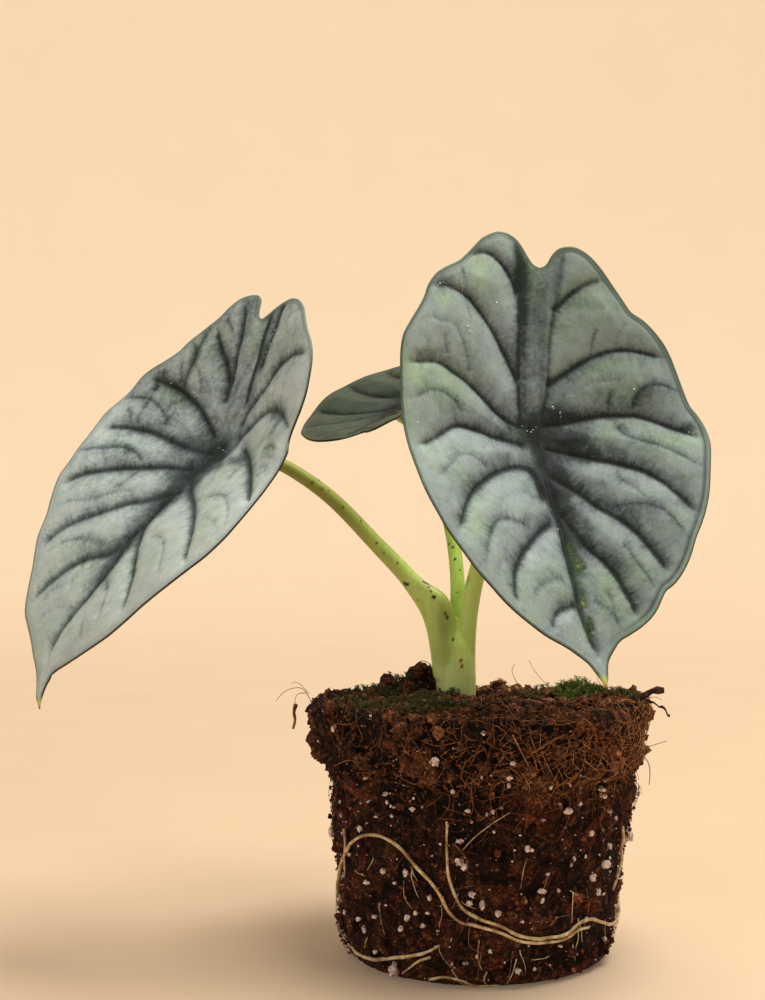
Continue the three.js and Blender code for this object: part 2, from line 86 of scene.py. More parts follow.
def finished(piece, material, slot, *nodes, angle=None):
    if material:
        piece.data.materials.append(material)
    pick(piece)
    if angle is None:
        bpy.ops.object.shade_smooth()
    elif angle > 0:
        bpy.ops.object.shade_smooth_by_angle(angle=math.radians(angle))
    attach(piece, "root")
    if nodes:
        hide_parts(*nodes)
    print(piece.name, len(piece.data.polygons), "faces")
    return piece


def columns(*parts):  # separate coordinates side by side
    return np.stack(np.broadcast_arrays(*parts), -1)


def ease(x, low, high):
    t = np.clip((np.asarray(x, float) - low) / (high - low), 0, 1)
    return t * t * (3 - 2 * t)


def drawn(i, seed):  # a fixed draw from 0 to 1 for each whole-number place
    h = (i * np.array([73856093, 19349663, 83492791])).sum(-1) + seed * 374761393
    h = (h ^ (h >> 13)) * 1274126177
    h = (h ^ (h >> 16)) * 668265263
    return ((h ^ (h >> 15)) & 0xFFFF) / 65535


def clouds(points, size, seed=0):  # smooth noise from -1 to 1
    p = np.asarray(points, float) / size
    low = np.floor(p).astype(np.int64)
    f = p - low
    f = f * f * (3 - 2 * f)
    total = 0
    for corner in np.ndindex(2, 2, 2):
        share = np.prod(np.where(corner, f, 1 - f), axis=-1)
        total = total + share * drawn(low + np.array(corner), seed)
    return 2 * total - 1


def lumpsOf(points, size, seed=0):  # crumbs: 1 at the middle of each one, 0 between them, and a draw for each
    p = np.asarray(points, float) / size
    low = np.floor(p).astype(np.int64)
    nearest = np.full(len(p), 9.0)
    second = np.full(len(p), 9.0)
    draw = np.zeros(len(p))
    for step in np.ndindex(3, 3, 3):
        cell = low + np.array(step) - 1
        heart = cell + columns(*(drawn(cell, seed + k) for k in (1, 2, 3)))
        away = np.linalg.norm(p - heart, axis=1)
        closer = away < nearest
        second = np.where(closer, nearest, np.minimum(second, away))
        draw = np.where(closer, drawn(cell, seed + 4), draw)
        nearest = np.where(closer, away, nearest)
    return np.clip(second - nearest, 0, 1), draw


def evenSteps(line, count):
    steps = np.linalg.norm(np.diff(line, axis=0), axis=1)
    along = np.concatenate([[0], np.cumsum(steps)])
    wanted = np.linspace(0, along[-1], count + 1)
    return np.stack([np.interp(wanted, along, line[:, k]) for k in range(line.shape[1])], 1)


def cubic(b, c, out, back, t):  # from b to c, leaving along out and arriving along back
    return b + out * t + (3 * (c - b) - 2 * out - back) * t**2 + (2 * (b - c) + out + back) * t**3


def smoothPath(knots, step=0.5):  # a centripetal curve through the knots
    p = np.asarray(knots, float)
    p = np.vstack([2 * p[0] - p[1], p, 2 * p[-1] - p[-2]])
    line = []
    t = np.linspace(0, 1, 24, endpoint=False)[:, None]
    for a, b, c, d in zip(p, p[1:], p[2:], p[3:]):
        ab, bc, cd = (max(np.linalg.norm(y - x), 1e-6) ** 0.5 for x, y in ((a, b), (b, c), (c, d)))
        out = ((b - a) / ab - (c - a) / (ab + bc) + (c - b) / bc) * bc
        back = ((c - b) / bc - (d - b) / (bc + cd) + (d - c) / cd) * bc
        line.append(cubic(b, c, out, back, t))
    line = np.vstack(line + [p[-2:-1]])
    length = np.linalg.norm(np.diff(line, axis=0), axis=1).sum()
    return evenSteps(line, max(2, round(length / step)))


def tubes(name, lines, radii, sides=8):  # round closed strands along lines, as one mesh
    curve = bpy.data.curves.new(name, "CURVE")
    curve.dimensions = "3D"
    curve.bevel_depth = mm
    curve.bevel_resolution = (sides - 4) // 2
    curve.use_fill_caps = True
    for line, radius in zip(lines, radii):
        strand = curve.splines.new("POLY")
        strand.points.add(len(line) - 1)
        flat = np.concatenate([np.asarray(line) * mm, np.ones((len(line), 1))], 1)
        strand.points.foreach_set("co", flat.ravel())
        strand.points.foreach_set("radius", np.broadcast_to(radius, len(line)).astype(float))
    piece = bpy.data.objects.new(name, curve)
    bpy.context.scene.collection.objects.link(piece)
    pick(piece)
    bpy.ops.object.convert(target="MESH")
    piece = bpy.context.view_layer.objects.active
    piece.name = name
    pick(piece)
    bpy.ops.object.mode_set(mode="EDIT")
    bpy.ops.mesh.select_all(action="SELECT")
    bpy.ops.mesh.remove_doubles(threshold=0.002 * mm)
    bpy.ops.mesh.normals_make_consistent(inside=False)
    bpy.ops.object.mode_set(mode="OBJECT")
    return piece


def turned(count, random):  # random rotation matrices
    q = random.normal(size=(count, 4))
    w, x, y, z = (q / np.linalg.norm(q, axis=1, keepdims=True)).T
    return np.stack([
        columns(1 - 2 * (y * y + z * z), 2 * (x * y - z * w), 2 * (x * z + y * w)),
        columns(2 * (x * y + z * w), 1 - 2 * (x * x + z * z), 2 * (y * z - x * w)),
        columns(2 * (x * z - y * w), 2 * (y * z + x * w), 1 - 2 * (x * x + y * y)),
    ], 1)


def pebble(subdivisions, rough, seed):  # one lumpy bit: its points, about 1 in radius, and its faces
    bpy.ops.mesh.primitive_ico_sphere_add(subdivisions=subdivisions, radius=mm)
    piece = bpy.context.view_layer.objects.active
    points = placesOf(piece)
    points = points * (1 + rough * clouds(points, 0.9, seed) + rough * clouds(points, 0.45, seed + 9))[:, None]
    faces = np.array([f.vertices[:] for f in piece.data.polygons])
    bpy.data.objects.remove(piece)
    return points, faces


def strewn(name, shapes, spots, sizes, matrices):  # copies of a few small shapes in one mesh
    points, faces, start = [], [], 0
    for k, (shapePoints, shapeFaces) in enumerate(shapes):
        mine = slice(k, None, len(shapes))
        made = np.einsum("nij,vj->nvi", matrices[mine], shapePoints) * sizes[mine, None, :] + spots[mine, None, :]
        count = len(shapePoints)
        starts = start + np.arange(len(made))[:, None, None] * count
        points.append(made.reshape(-1, 3))
        faces.append((shapeFaces[None] + starts).reshape(-1, shapeFaces.shape[1]))
        start += made.shape[0] * count
    return meshFrom(name, np.vstack(points), np.vstack(faces))


# Camera, floor and light

view = {
    "at": (-26, -550, 149),
    "down": 2.6,  # degrees below the horizon
    "reach": 2028,  # focal length in pixels of the picture
    "wide": 765, "tall": 1000, "sensor": 36,
}


def sightLine(px, py):  # from the camera through a pixel
    down = math.radians(view["down"])
    ahead = np.array([0, math.cos(down), -math.sin(down)])
    up = np.array([0, math.sin(down), math.cos(down)])
    line = view["reach"] * ahead + (px - view["wide"] / 2) * np.array([1, 0, 0]) + (view["tall"] / 2 - py) * up
    return np.array(view["at"], float), line / np.linalg.norm(line)


def seenOn(piece, px, py):  # where a pixel of the picture falls on a piece, if it does
    start, line = sightLine(px, py)
    hit, where, _, _ = piece.ray_cast(Vector(start) * mm, Vector(line))
    return np.array(where) / mm if hit else None


def makeCamera():
    camera = bpy.data.cameras.new("camera")
    camera.sensor_width = view["sensor"]
    camera.lens = view["sensor"] * view["reach"] / view["tall"]
    camera.clip_start = 0.02
    camera.clip_end = 20
    holder = bpy.data.objects.new("camera", camera)
    holder.location = Vector(view["at"]) * mm
    holder.rotation_euler = (math.radians(90 - view["down"]), 0, 0)
    bpy.context.scene.collection.objects.link(holder)
    bpy.context.scene.camera = holder


lamps = {  # place and target in millimetres, size, watts and colour
    "key": ((230, -20, 920), (-20, 0, 90), 640, 11.5, (1.0, 0.97, 0.92)),
    "fill": ((-560, -700, 240), (0, 0, 100), 600, 2.0, (1.0, 0.95, 0.88)),
}
studio = {"near": -2600, "bend": 700, "back": 1500, "high": 2400, "half": 2600, "world": 0.26}


def makeLights():
    for name, (at, target, size, watts, colour) in lamps.items():
        lamp = bpy.data.lights.new(name, "AREA")
        lamp.shape = "DISK"
        lamp.size = size * mm
        lamp.energy = watts
        lamp.color = colour
        holder = bpy.data.objects.new(name, lamp)
        holder.location = Vector(at) * mm
        holder.rotation_euler = (Vector(target) - Vector(at)).to_track_quat("-Z", "Y").to_euler()
        bpy.context.scene.collection.objects.link(holder)
    world = bpy.data.worlds.new("studio")
    world.use_nodes = True
    sky = world.node_tree.nodes["Background"]
    sky.inputs["Color"].default_value = (1.0, 0.93, 0.83, 1)
    sky.inputs["Strength"].default_value = studio["world"]
    bpy.context.scene.world = world
    bpy.context.scene.view_settings.view_transform = "Standard"


def makeFloor(material):  # a pale sweep: flat under the plant, rounded up into a lit back
    t = np.linspace(0, np.pi / 2, 25)
    r = studio["bend"]
    y = np.concatenate([[studio["near"]], studio["back"] - r + r * np.sin(t), [studio["back"]]])
    z = np.concatenate([[0], r - r * np.cos(t), [studio["high"]]])
    points = [(x, y[i], z[i]) for x in (-studio["half"], studio["half"]) for i in range(len(y))]
    n = len(y)
    floor = meshFrom("floor", points, [(i, n + i, n + i + 1, i + 1) for i in range(n - 1)])
    pick(floor)
    bpy.ops.object.shade_smooth()
    floor.data.materials.append(material)


# Materials. Each is a chain of small steps: a texture or a field of the mesh, a ramp, a mix.

class Recipe:
    def __init__(self, name, roughness, **sockets):
        self.material = bpy.data.materials.new(name)
        self.material.use_nodes = True
        self.tree = self.material.node_tree
        self.skin = self.tree.nodes["Principled BSDF"]
        self.skin.inputs["Roughness"].default_value = roughness
        for key, value in sockets.items():
            self.skin.inputs[key.replace("_", " ")].default_value = value
        self.object = self.tree.nodes.new("ShaderNodeTexCoord").outputs["Object"]

    def plug(self, source, socket):
        if isinstance(source, bpy.types.NodeSocket):
            self.tree.links.new(source, socket)
        else:
            socket.default_value = source

    def noise(self, size, detail=3, rough=0.55, stretch=None):  # features about size millimetres across
        node = self.tree.nodes.new("ShaderNodeTexNoise")
        node.inputs["Scale"].default_value = 1 / (size * mm)
        node.inputs["Detail"].default_value = detail
        node.inputs["Roughness"].default_value = rough
        where = self.object
        if stretch:
            mapping = self.tree.nodes.new("ShaderNodeMapping")
            mapping.inputs["Scale"].default_value = stretch
            self.plug(where, mapping.inputs["Vector"])
            where = mapping.outputs["Vector"]
        self.plug(where, node.inputs["Vector"])
        return node.outputs["Fac"]

    def crumbs(self, size, feature="F1", output="Distance"):
        node = self.tree.nodes.new("ShaderNodeTexVoronoi")
        node.feature = feature
        node.inputs["Scale"].default_value = 1 / (size * mm)
        self.plug(self.object, node.inputs["Vector"])
        return node.outputs[output]

    def warp(self, size, reach):  # shifts where the later textures look, which makes their borders ragged
        noise = self.tree.nodes.new("ShaderNodeTexNoise")
        noise.inputs["Scale"].default_value = 1 / (size * mm)
        self.plug(self.object, noise.inputs["Vector"])
        middle, longer, moved = (self.tree.nodes.new("ShaderNodeVectorMath") for _ in range(3))
        middle.operation, longer.operation, moved.operation = "SUBTRACT", "SCALE", "ADD"
        middle.inputs[1].default_value = (0.5, 0.5, 0.5)
        longer.inputs["Scale"].default_value = 2 * reach * mm
        self.plug(noise.outputs["Color"], middle.inputs[0])
        self.plug(middle.outputs[0], longer.inputs[0])
        self.plug(longer.outputs[0], moved.inputs[0])
        self.plug(self.object, moved.inputs[1])
        self.object = moved.outputs[0]

    def strokes(self, wide, long):  # noise drawn out from the veins, in millimetres along them and away from them
        place = self.tree.nodes.new("ShaderNodeCombineXYZ")
        self.plug(self.times(self.field("along"), 1 / wide), place.inputs[0])
        self.plug(self.times(self.field("away"), 1 / long), place.inputs[1])
        node = self.tree.nodes.new("ShaderNodeTexNoise")
        node.inputs["Scale"].default_value = 1
        node.inputs["Detail"].default_value = 3
        node.inputs["Roughness"].default_value = 0.65
        self.plug(place.outputs[0], node.inputs["Vector"])
        return node.outputs["Fac"]

    def field(self, name):
        node = self.tree.nodes.new("ShaderNodeAttribute")
        node.attribute_name = name
        return node.outputs["Fac"]

    def place(self, axis):  # millimetres from the origin
        node = self.tree.nodes.new("ShaderNodeSeparateXYZ")
        self.plug(self.object, node.inputs[0])
        return self.times(node.outputs[axis], 1000)

    def sum(self, way, a, b=0.0, clamp=False):
        node = self.tree.nodes.new("ShaderNodeMath")
        node.operation = way
        node.use_clamp = clamp
        self.plug(a, node.inputs[0])
        self.plug(b, node.inputs[1])
        return node.outputs[0]

    def plus(self, a, b, clamp=False):
        return self.sum("ADD", a, b, clamp)

    def times(self, a, b):
        return self.sum("MULTIPLY", a, b)

    def range(self, value, low, high, start=0.0, end=1.0):
        node = self.tree.nodes.new("ShaderNodeMapRange")
        node.interpolation_type = "SMOOTHSTEP"
        self.plug(value, node.inputs["Value"])
        for key, number in (("From Min", low), ("From Max", high), ("To Min", start), ("To Max", end)):
            node.inputs[key].default_value = number
        return node.outputs["Result"]

    def ramp(self, value, *stops):  # (place, red, green, blue), the colours as they look on a screen, 0 to 255
        node = self.tree.nodes.new("ShaderNodeValToRGB")
        while len(node.color_ramp.elements) < len(stops):
            node.color_ramp.elements.new(0.5)
        for element, (place, *colour) in zip(node.color_ramp.elements, stops):
            element.position = place
            element.color = paint(*colour)
        self.plug(value, node.inputs["Fac"])
        return node.outputs["Color"]

    def mix(self, share, a, b, way="MIX"):
        node = self.tree.nodes.new("ShaderNodeMix")
        node.data_type = "RGBA"
        node.blend_type = way
        self.plug(share, node.inputs[0])
        self.plug(a, node.inputs[6])
        self.plug(b, node.inputs[7])
        return node.outputs[2]

    def colour(self, source):
        self.plug(source, self.skin.inputs["Base Color"])

    def rough(self, source):
        self.plug(source, self.skin.inputs["Roughness"])

    def bump(self, value, depth, strength=1.0):  # depth in millimetres
        node = self.tree.nodes.new("ShaderNodeBump")
        node.inputs["Distance"].default_value = depth * mm
        node.inputs["Strength"].default_value = strength
        self.plug(value, node.inputs["Height"])
        self.plug(node.outputs["Normal"], self.skin.inputs["Normal"])


def paint(*colour):  # red, green and blue as they look on a screen, turned into the linear ones that a shader takes
    return tuple(((c / 255 + 0.055) / 1.055) ** 2.4 if c > 10 else c / 255 / 12.92 for c in colour) + (1,)


def floorFinish():
    r = Recipe("pale sweep", 0.85)
    r.colour(r.ramp(r.noise(60, 2), (0.3, 198, 172, 142), (0.7, 202, 176, 146)))
    r.skin.inputs["Emission Color"].default_value = paint(248, 222, 188)
    x, y = r.place("X"), r.place("Y")
    away = r.sum("SQRT", r.plus(r.times(x, x), r.times(y, y)))
    r.plug(r.range(away, 50, 1300, 0.1, 0.62), r.skin.inputs["Emission Strength"])
    return r.material


def soilFinish():
    r = Recipe("damp coir and peat", 0.92, Specular_IOR_Level=0.18)
    reds = r.noise(8, 3)
    r.warp(1.1, 0.55)
    cell = r.crumbs(1.25, output="Color")
    gap = r.range(r.crumbs(1.25, "DISTANCE_TO_EDGE"), 0.0, 0.2, 1, 0)
    grit = r.noise(0.7, 4, 0.75)
    tone = r.plus(r.times(grit, 0.5), r.times(cell, 0.34))
    tone = r.plus(tone, r.range(r.field("draw"), 0, 1, -0.02, 0.26))
    brown = [(0.3, 30, 14, 9), (0.46, 60, 31, 18), (0.6, 98, 54, 32), (0.74, 142, 86, 54), (0.88, 184, 124, 84)]
    base = r.ramp(tone, *brown)
    red = r.ramp(tone, (0.3, 46, 18, 10), (0.5, 98, 44, 24), (0.66, 146, 74, 42), (0.84, 190, 116, 74))
    base = r.mix(r.range(reds, 0.46, 0.64, 0, 0.85), base, red)
    # painted light: the collar paler towards its right, as lit from that side
    freshStalkAndLitCollar = r.times(r.range(r.place("X"), -90, 30), r.range(r.place("Z"), 44, 56, 0, 0.62))
    base = r.mix(freshStalkAndLitCollar, base, r.ramp(tone, (0.3, 84, 44, 26), (0.55, 156, 96, 60), (0.8, 218, 156, 108)))
    # painted shade in the cracks between crumbs
    base = r.mix(r.times(gap, 0.6), base, paint(14, 7, 5))
    # painted shade in the hollows of the plug, darkest where the surface sits lowest
    base = r.mix(r.range(r.field("hollow"), 0.1, 1.0, 0, 0.9), base, paint(11, 6, 4))
    pale = r.times(r.range(r.noise(0.45, 2, 0.6), 0.7, 0.76), 0.75)
    base = r.mix(pale, base, paint(206, 172, 158))
    r.colour(base)
    r.rough(r.range(grit, 0.3, 0.7, 0.82, 0.98))
    r.bump(r.sum("SUBTRACT", r.times(grit, 1.6), gap), 0.42, 1.0)
    return r.material


def coirFinish():
    r = Recipe("coir", 0.85, Specular_IOR_Level=0.25)
    brown = [(0.3, 52, 26, 15), (0.45, 94, 50, 27), (0.57, 140, 84, 48), (0.72, 184, 126, 78)]
    base = r.ramp(r.noise(3.2, 4, 0.7), *brown)
    base = r.mix(r.range(r.noise(11, 2), 0.42, 0.62, 0, 0.6), base, paint(66, 34, 20))
    # painted light: the coir on the collar paler towards its right, as lit from that side
    freshStalkAndLitCollar = r.times(r.range(r.place("X"), -60, 30), r.range(r.place("Z"), 44, 56, 0, 0.65))
    r.colour(r.mix(freshStalkAndLitCollar, base, r.ramp(r.noise(2.4, 3, 0.7), (0.35, 112, 64, 36), (0.65, 216, 150, 94))))
    r.bump(r.noise(0.4, 3, stretch=(1, 1, 0.3)), 0.1, 0.7)
    return r.material


def strawFinish():
    r = Recipe("pale fibre", 0.7)
    r.colour(r.ramp(r.noise(4, 3), (0.3, 96, 58, 34), (0.55, 138, 90, 54), (0.75, 184, 134, 84)))
    r.bump(r.noise(0.4, 3), 0.1, 0.6)
    return r.material


def perliteFinish():
    r = Recipe("perlite", 0.9, Specular_IOR_Level=0.25)
    base = r.ramp(r.noise(0.7, 3, 0.75), (0.32, 138, 100, 86), (0.46, 214, 188, 178), (0.62, 250, 236, 230))
    base = r.mix(r.range(r.noise(1.9, 3, 0.6), 0.54, 0.66, 0, 0.85), base, paint(104, 66, 50))
    r.colour(base)
    r.bump(r.noise(0.35, 3, 0.7), 0.2, 0.9)
    return r.material


def rootFinish():
    r = Recipe("root skin", 0.55, Subsurface_Weight=0.1, Subsurface_Scale=0.001)
    base = r.ramp(r.noise(2.2, 4, 0.65), (0.3, 146, 108, 66), (0.46, 194, 164, 116), (0.62, 222, 204, 164))
    base = r.mix(r.range(r.noise(6, 3), 0.5, 0.66, 0, 0.75), base, paint(132, 86, 50))
    base = r.mix(r.range(r.noise(0.8, 3), 0.58, 0.7, 0, 0.7), base, paint(84, 52, 32))
    r.colour(base)
    r.rough(r.range(r.noise(1.2, 2), 0.3, 0.7, 0.42, 0.68))
    r.bump(r.noise(0.5, 3, stretch=(1, 1, 2.4)), 0.12, 0.7)
    return r.material


def barkFinish():
    r = Recipe("weathered bark", 0.92, Specular_IOR_Level=0.25)
    r.colour(r.ramp(r.noise(1.1, 4, 0.7), (0.32, 26, 15, 10), (0.52, 62, 38, 26), (0.72, 112, 76, 54)))
    r.bump(r.noise(0.5, 4, 0.7), 0.25, 0.9)
    return r.material


def mossFinish():
    r = Recipe("moss", 0.85, Specular_IOR_Level=0.25)
    base = r.ramp(r.noise(1.4, 4, 0.7), (0.3, 20, 21, 8), (0.46, 46, 48, 18), (0.6, 82, 84, 34), (0.76, 128, 128, 58))
    bright = r.ramp(r.noise(1.1, 3, 0.7), (0.32, 44, 58, 16), (0.5, 84, 104, 32), (0.7, 128, 146, 58))
    base = r.mix(r.range(r.field("bright"), 0.2, 0.9, 0, 0.9), base, bright)
    share = r.range(r.noise(3.4, 3), 0.52, 0.64, 0, 0.85)
    base = r.mix(share, base, r.ramp(r.noise(0.8, 2), (0.3, 44, 28, 12), (0.7, 112, 84, 40)))
    r.colour(base)
    r.bump(r.noise(0.4, 2), 0.08, 0.5)
    return r.material


def stalkFinish():
    r = Recipe("stalk skin", 0.45, Subsurface_Weight=0.12, Subsurface_Scale=0.002, Specular_IOR_Level=0.4)
    r.skin.inputs["Subsurface Radius"].default_value = (1.0, 1.0, 0.4)
    lengthwise = r.noise(2.2, 3, 0.5, stretch=(1.4, 1.4, 0.12))
    mottle = r.noise(0.8, 4, 0.7)
    base = r.ramp(lengthwise, (0.3, 174, 196, 92), (0.7, 190, 209, 112))
    for field, most, grain, dark, light in (
        ("pale", 0.9, lengthwise, (204, 216, 132), (218, 229, 156)),
        ("olive", 0.9, mottle, (122, 126, 42), (146, 150, 62)),
        ("freshStalkAndLitCollar", 0.85, lengthwise, (152, 188, 72), (178, 208, 100)),
    ):
        share = r.range(r.field(field), 0, 1, 0, most)
        base = r.mix(share, base, r.ramp(grain, (0.3, *dark), (0.7, *light)))
    base = r.mix(r.range(r.field("shadow"), 0, 1, 0, 0.75), base, paint(104, 116, 40))
    base = r.mix(r.range(mottle, 0.5, 0.72, 0, 0.2), base, paint(112, 128, 50))
    base = r.mix(r.range(r.noise(7, 2, 0.5), 0.45, 0.7, 0, 0.3), base, paint(134, 148, 62))
    base = r.mix(r.field("scar"), base, paint(164, 122, 62))
    base = r.mix(r.field("fleck"), base, r.ramp(mottle, (0.35, 18, 11, 10), (0.65, 44, 29, 22)))
    base = r.mix(r.field("rust"), base, paint(138, 70, 40))
    r.colour(base)
    r.rough(r.range(r.noise(3, 2), 0.3, 0.7, 0.4, 0.52))
    r.bump(lengthwise, 0.04, 0.5)
    return r.material


# Tones go from the pillow tops to the sunken veins. The rim's are pale, deep, edge line and valley inside, the valley's
# dark partly painted shade in its groove.
bladeColours = {
    "right": {
        "name": "silver blade",
        "tones": [(0.0, 160, 173, 170), (0.22, 137, 148, 148), (0.42, 106, 114, 118), (0.66, 50, 58, 58),
                  (1.0, 16, 22, 22)],
        "greener": [(0.0, 158, 182, 144), (0.22, 132, 156, 124), (0.42, 94, 115, 94), (0.66, 44, 63, 46),
                    (1.0, 14, 25, 17)],
        "rim": [(118, 134, 120), (80, 96, 80), (48, 38, 28), (30, 38, 36)],
    },
    "left": {
        "name": "pale silver blade",
        "tones": [(0.0, 201, 210, 207), (0.22, 170, 181, 181), (0.42, 128, 138, 140), (0.66, 80, 90, 91),
                  (1.0, 36, 43, 44)],
        "greener": [(0.0, 188, 206, 182), (0.22, 158, 178, 156), (0.42, 112, 131, 116), (0.66, 58, 76, 62),
                    (1.0, 21, 34, 25)],
        "rim": [(150, 160, 156), (108, 124, 112), (52, 38, 28), (72, 80, 80)],
    },
    "back": {
        "name": "shaded blade",
        "tones": [(0.0, 66, 80, 64), (0.22, 56, 68, 54), (0.42, 42, 52, 42), (0.66, 26, 33, 27), (1.0, 12, 16, 13)],
        "rim": [(70, 80, 64), (52, 60, 48), (34, 26, 20), (26, 32, 26)],
    },
}


def bladeFinish(name, tones, rim, greener=None):
    r = Recipe(name, 0.6, Specular_IOR_Level=0.24)
    fine = r.noise(0.45, 4, 0.7)
    grain = r.noise(1.2, 4, 0.75)
    soft = r.noise(6, 3, 0.6)
    brush = r.times(r.range(r.strokes(0.5, 3.5), 0.3, 0.7, -0.08, 0.08), r.field("brush"))
    shade = r.plus(r.field("shade"), r.range(fine, 0.3, 0.7, -0.065, 0.065))
    shade = r.plus(shade, r.range(grain, 0.3, 0.7, -0.09, 0.09))
    shade = r.plus(shade, r.range(r.strokes(2.2, 4.5), 0.3, 0.7, -0.06, 0.06))
    shade = r.plus(shade, brush, True)
    base = r.mix(r.field("green"), r.ramp(shade, *tones), r.ramp(shade, *(greener or tones)))
    base = r.mix(1.0, base, r.ramp(soft, (0.3, 226, 231, 236), (0.7, 252, 255, 246)), "MULTIPLY")
    base = r.mix(1.0, base, r.ramp(fine, (0.3, 218, 218, 220), (0.7, 255, 255, 255)), "MULTIPLY")
    # dim: one half of the blade darker, partly its own colour and partly painted shade
    base = r.mix(r.field("dim"), base, paint(232, 235, 232), "MULTIPLY")
    base = r.mix(r.field("fleck"), base, r.ramp(fine, (0.4, 26, 44, 22), (0.6, 64, 92, 44)))
    # the valley inside the rim: the collecting vein's own dark with painted shade in its groove
    base = r.mix(r.field("valley"), base, paint(*rim[3]))
    deep = r.plus(r.field("deepRim"), r.range(grain, 0.2, 0.8, -0.25, 0.25), True)
    border = r.ramp(deep, (0.1, *rim[0]), (0.9, *rim[1]))
    base = r.mix(r.range(r.field("rim"), 0.7, 1.1, 1, 0), base, border)
    base = r.mix(r.field("gold"), base, r.ramp(fine, (0.4, 120, 134, 60), (0.6, 186, 190, 104)))
    line = r.times(r.range(r.field("margin"), 0.14, 0.4, 1, 0), r.field("brown"))
    base = r.mix(line, base, paint(*rim[2]))
    base = r.mix(r.field("tip"), base, paint(186, 190, 92))
    base = r.mix(r.field("point"), base, paint(150, 66, 40))
    r.colour(base)
    r.rough(r.range(r.plus(fine, r.field("shade")), 0.2, 1.4, 0.52, 0.68))
    r.bump(r.plus(r.noise(0.4, 3, 0.6), r.times(brush, -2.0)), 0.07, 0.6)
    return r.material


def underFinish():
    r = Recipe("leaf underside", 0.55)
    soft = r.noise(6, 3)
    base = r.ramp(soft, (0.3, 118, 132, 104), (0.7, 146, 156, 124))
    base = r.mix(r.range(r.field("shade"), 0.1, 0.9, 0, 0.55), base, paint(96, 92, 76))
    base = r.mix(r.range(r.field("margin"), 0.2, 0.6, 0.95, 0), base, paint(84, 64, 50))
    r.colour(base)
    r.rough(r.range(r.noise(0.6, 3), 0.3, 0.7, 0.46, 0.6))
    r.bump(r.noise(0.5, 3, 0.6), 0.08, 0.6)
    return r.material


def saltFinish():
    r = Recipe("salt dots", 0.4)
    r.colour(r.ramp(r.noise(0.3, 2), (0.3, 176, 186, 180), (0.7, 224, 230, 224)))
    r.bump(r.noise(0.2, 2), 0.03, 0.5)
    return r.material


def dropFinish():
    r = Recipe("water", 0.06, IOR=1.33, Transmission_Weight=0.85)
    r.colour(r.ramp(r.noise(1, 1), (0.3, 214, 222, 218), (0.7, 240, 244, 240)))
    return r.material


# Plug of soil. The same shape as the solid it replaces, with crumbs, hollows, fibres and grains on it.

plug = {
    "height": 71, "baseRadius": 33.5, "collarRadius": 46, "waistRadius": 40.5, "footRadius": 38, "collarBottom": 53,
    "lumps": 1.1, "backSlope": 0.11, "spokes": 420, "baseRows": 10, "sideRows": 122, "topRows": 58,
    "bulge": {"turn": 84, "height": 46, "out": 2.8, "turnSpread": 22, "heightSpread": 8},
    "clumps": [((-14.5, 4), 8.5, 4.4), ((-25, 1), 4.5, 2.2), ((6, 3), 3.6, 3), ((30, -20), 1.8, 5)],
}
plugTop = plug["height"] - 0.6
profileHeights = [0, 1.3, 3.6, 8, 20, 34, 48, 52, 54.5, 63, 68, plugTop]
profileRadii = [
    plug["baseRadius"], plug["baseRadius"] + 2.2, plug["footRadius"] - 1, plug["footRadius"] + 0.2,
    plug["footRadius"] + 1, plug["waistRadius"] - 0.2, plug["waistRadius"] + 0.3, plug["waistRadius"] + 0.7,
    plug["collarRadius"] - 0.8, plug["collarRadius"], plug["collarRadius"] + 0.8, plug["collarRadius"] - 0.4,
]


def waves(turn, height):
    a = np.sin(3 * turn + 0.11 * height) + 0.8 * np.sin(7 * turn - 0.23 * height + 1.3)
    return (a + 0.6 * np.sin(13 * turn + 0.41 * height + 0.7) + 0.6 * np.cos(9 * turn + 0.55 * height)) / 3


def sideRadius(turn, height):
    turn, height = np.asarray(turn, float), np.asarray(height, float)
    bulge = plug["bulge"]
    rough = plug["lumps"] * np.minimum(1, height / 6) * np.where(height > plug["collarBottom"], 1.5, 1)
    away = turn - math.radians(bulge["turn"])
    across = np.arctan2(np.sin(away), np.cos(away)) / math.radians(bulge["turnSpread"])
    above = (height - bulge["height"]) / bulge["heightSpread"]
    out = np.where(height < plug["collarBottom"], bulge["out"] * np.exp(-(across**2) - above**2), 0)
    return np.interp(height, profileHeights, profileRadii) + rough * waves(turn, height) + out


def inCollar(height):  # 0 below the collar, 1 in it
    return ease(height, 47, 54)


def soilRadius(turn, height):  # a little inside the side, and more so where the left of the collar has crumbled off
    high = inCollar(height)
    return sideRadius(turn, height) - 0.25 - 0.3 * (1 - high) - 1.9 * high * np.exp(-(((turn + 1.5) / 0.75) ** 2))


def topHeight(x, y):
    z = plug["height"] - plug["backSlope"] * np.maximum(0, y) + 0.5 * np.sin(0.31 * x + 0.7) * np.cos(0.27 * y)
    z = z + 0.5 * waves(np.arctan2(x, -y), np.hypot(x, y))
    for (x0, y0), height, spread in plug["clumps"]:
        z = z + height * np.exp(-((x - x0) ** 2 + (y - y0) ** 2) / (2 * spread**2))
    return z


def onPlug(turn, climb, out=0.0):  # climb goes up the side and then over the rim, towards the middle of the top
    turn, climb = np.asarray(turn, float), np.asarray(climb, float)
    over = np.maximum(0, climb - plugTop)
    low = np.minimum(climb, plugTop)
    r = soilRadius(turn, low)
    fall = plug["backSlope"] * np.maximum(0, -plug["collarRadius"] * np.cos(turn)) * np.where(low > 66, 1, 0)
    inward = np.maximum(r - over, 0)
    side = inward + np.where(over > 0, 0, out)
    x, y = side * np.sin(turn), -side * np.cos(turn)
    z = np.where(over > 0, topHeight(x, y) + out - 0.5 * np.exp(-over), low - fall)
    return columns(x, y, z)


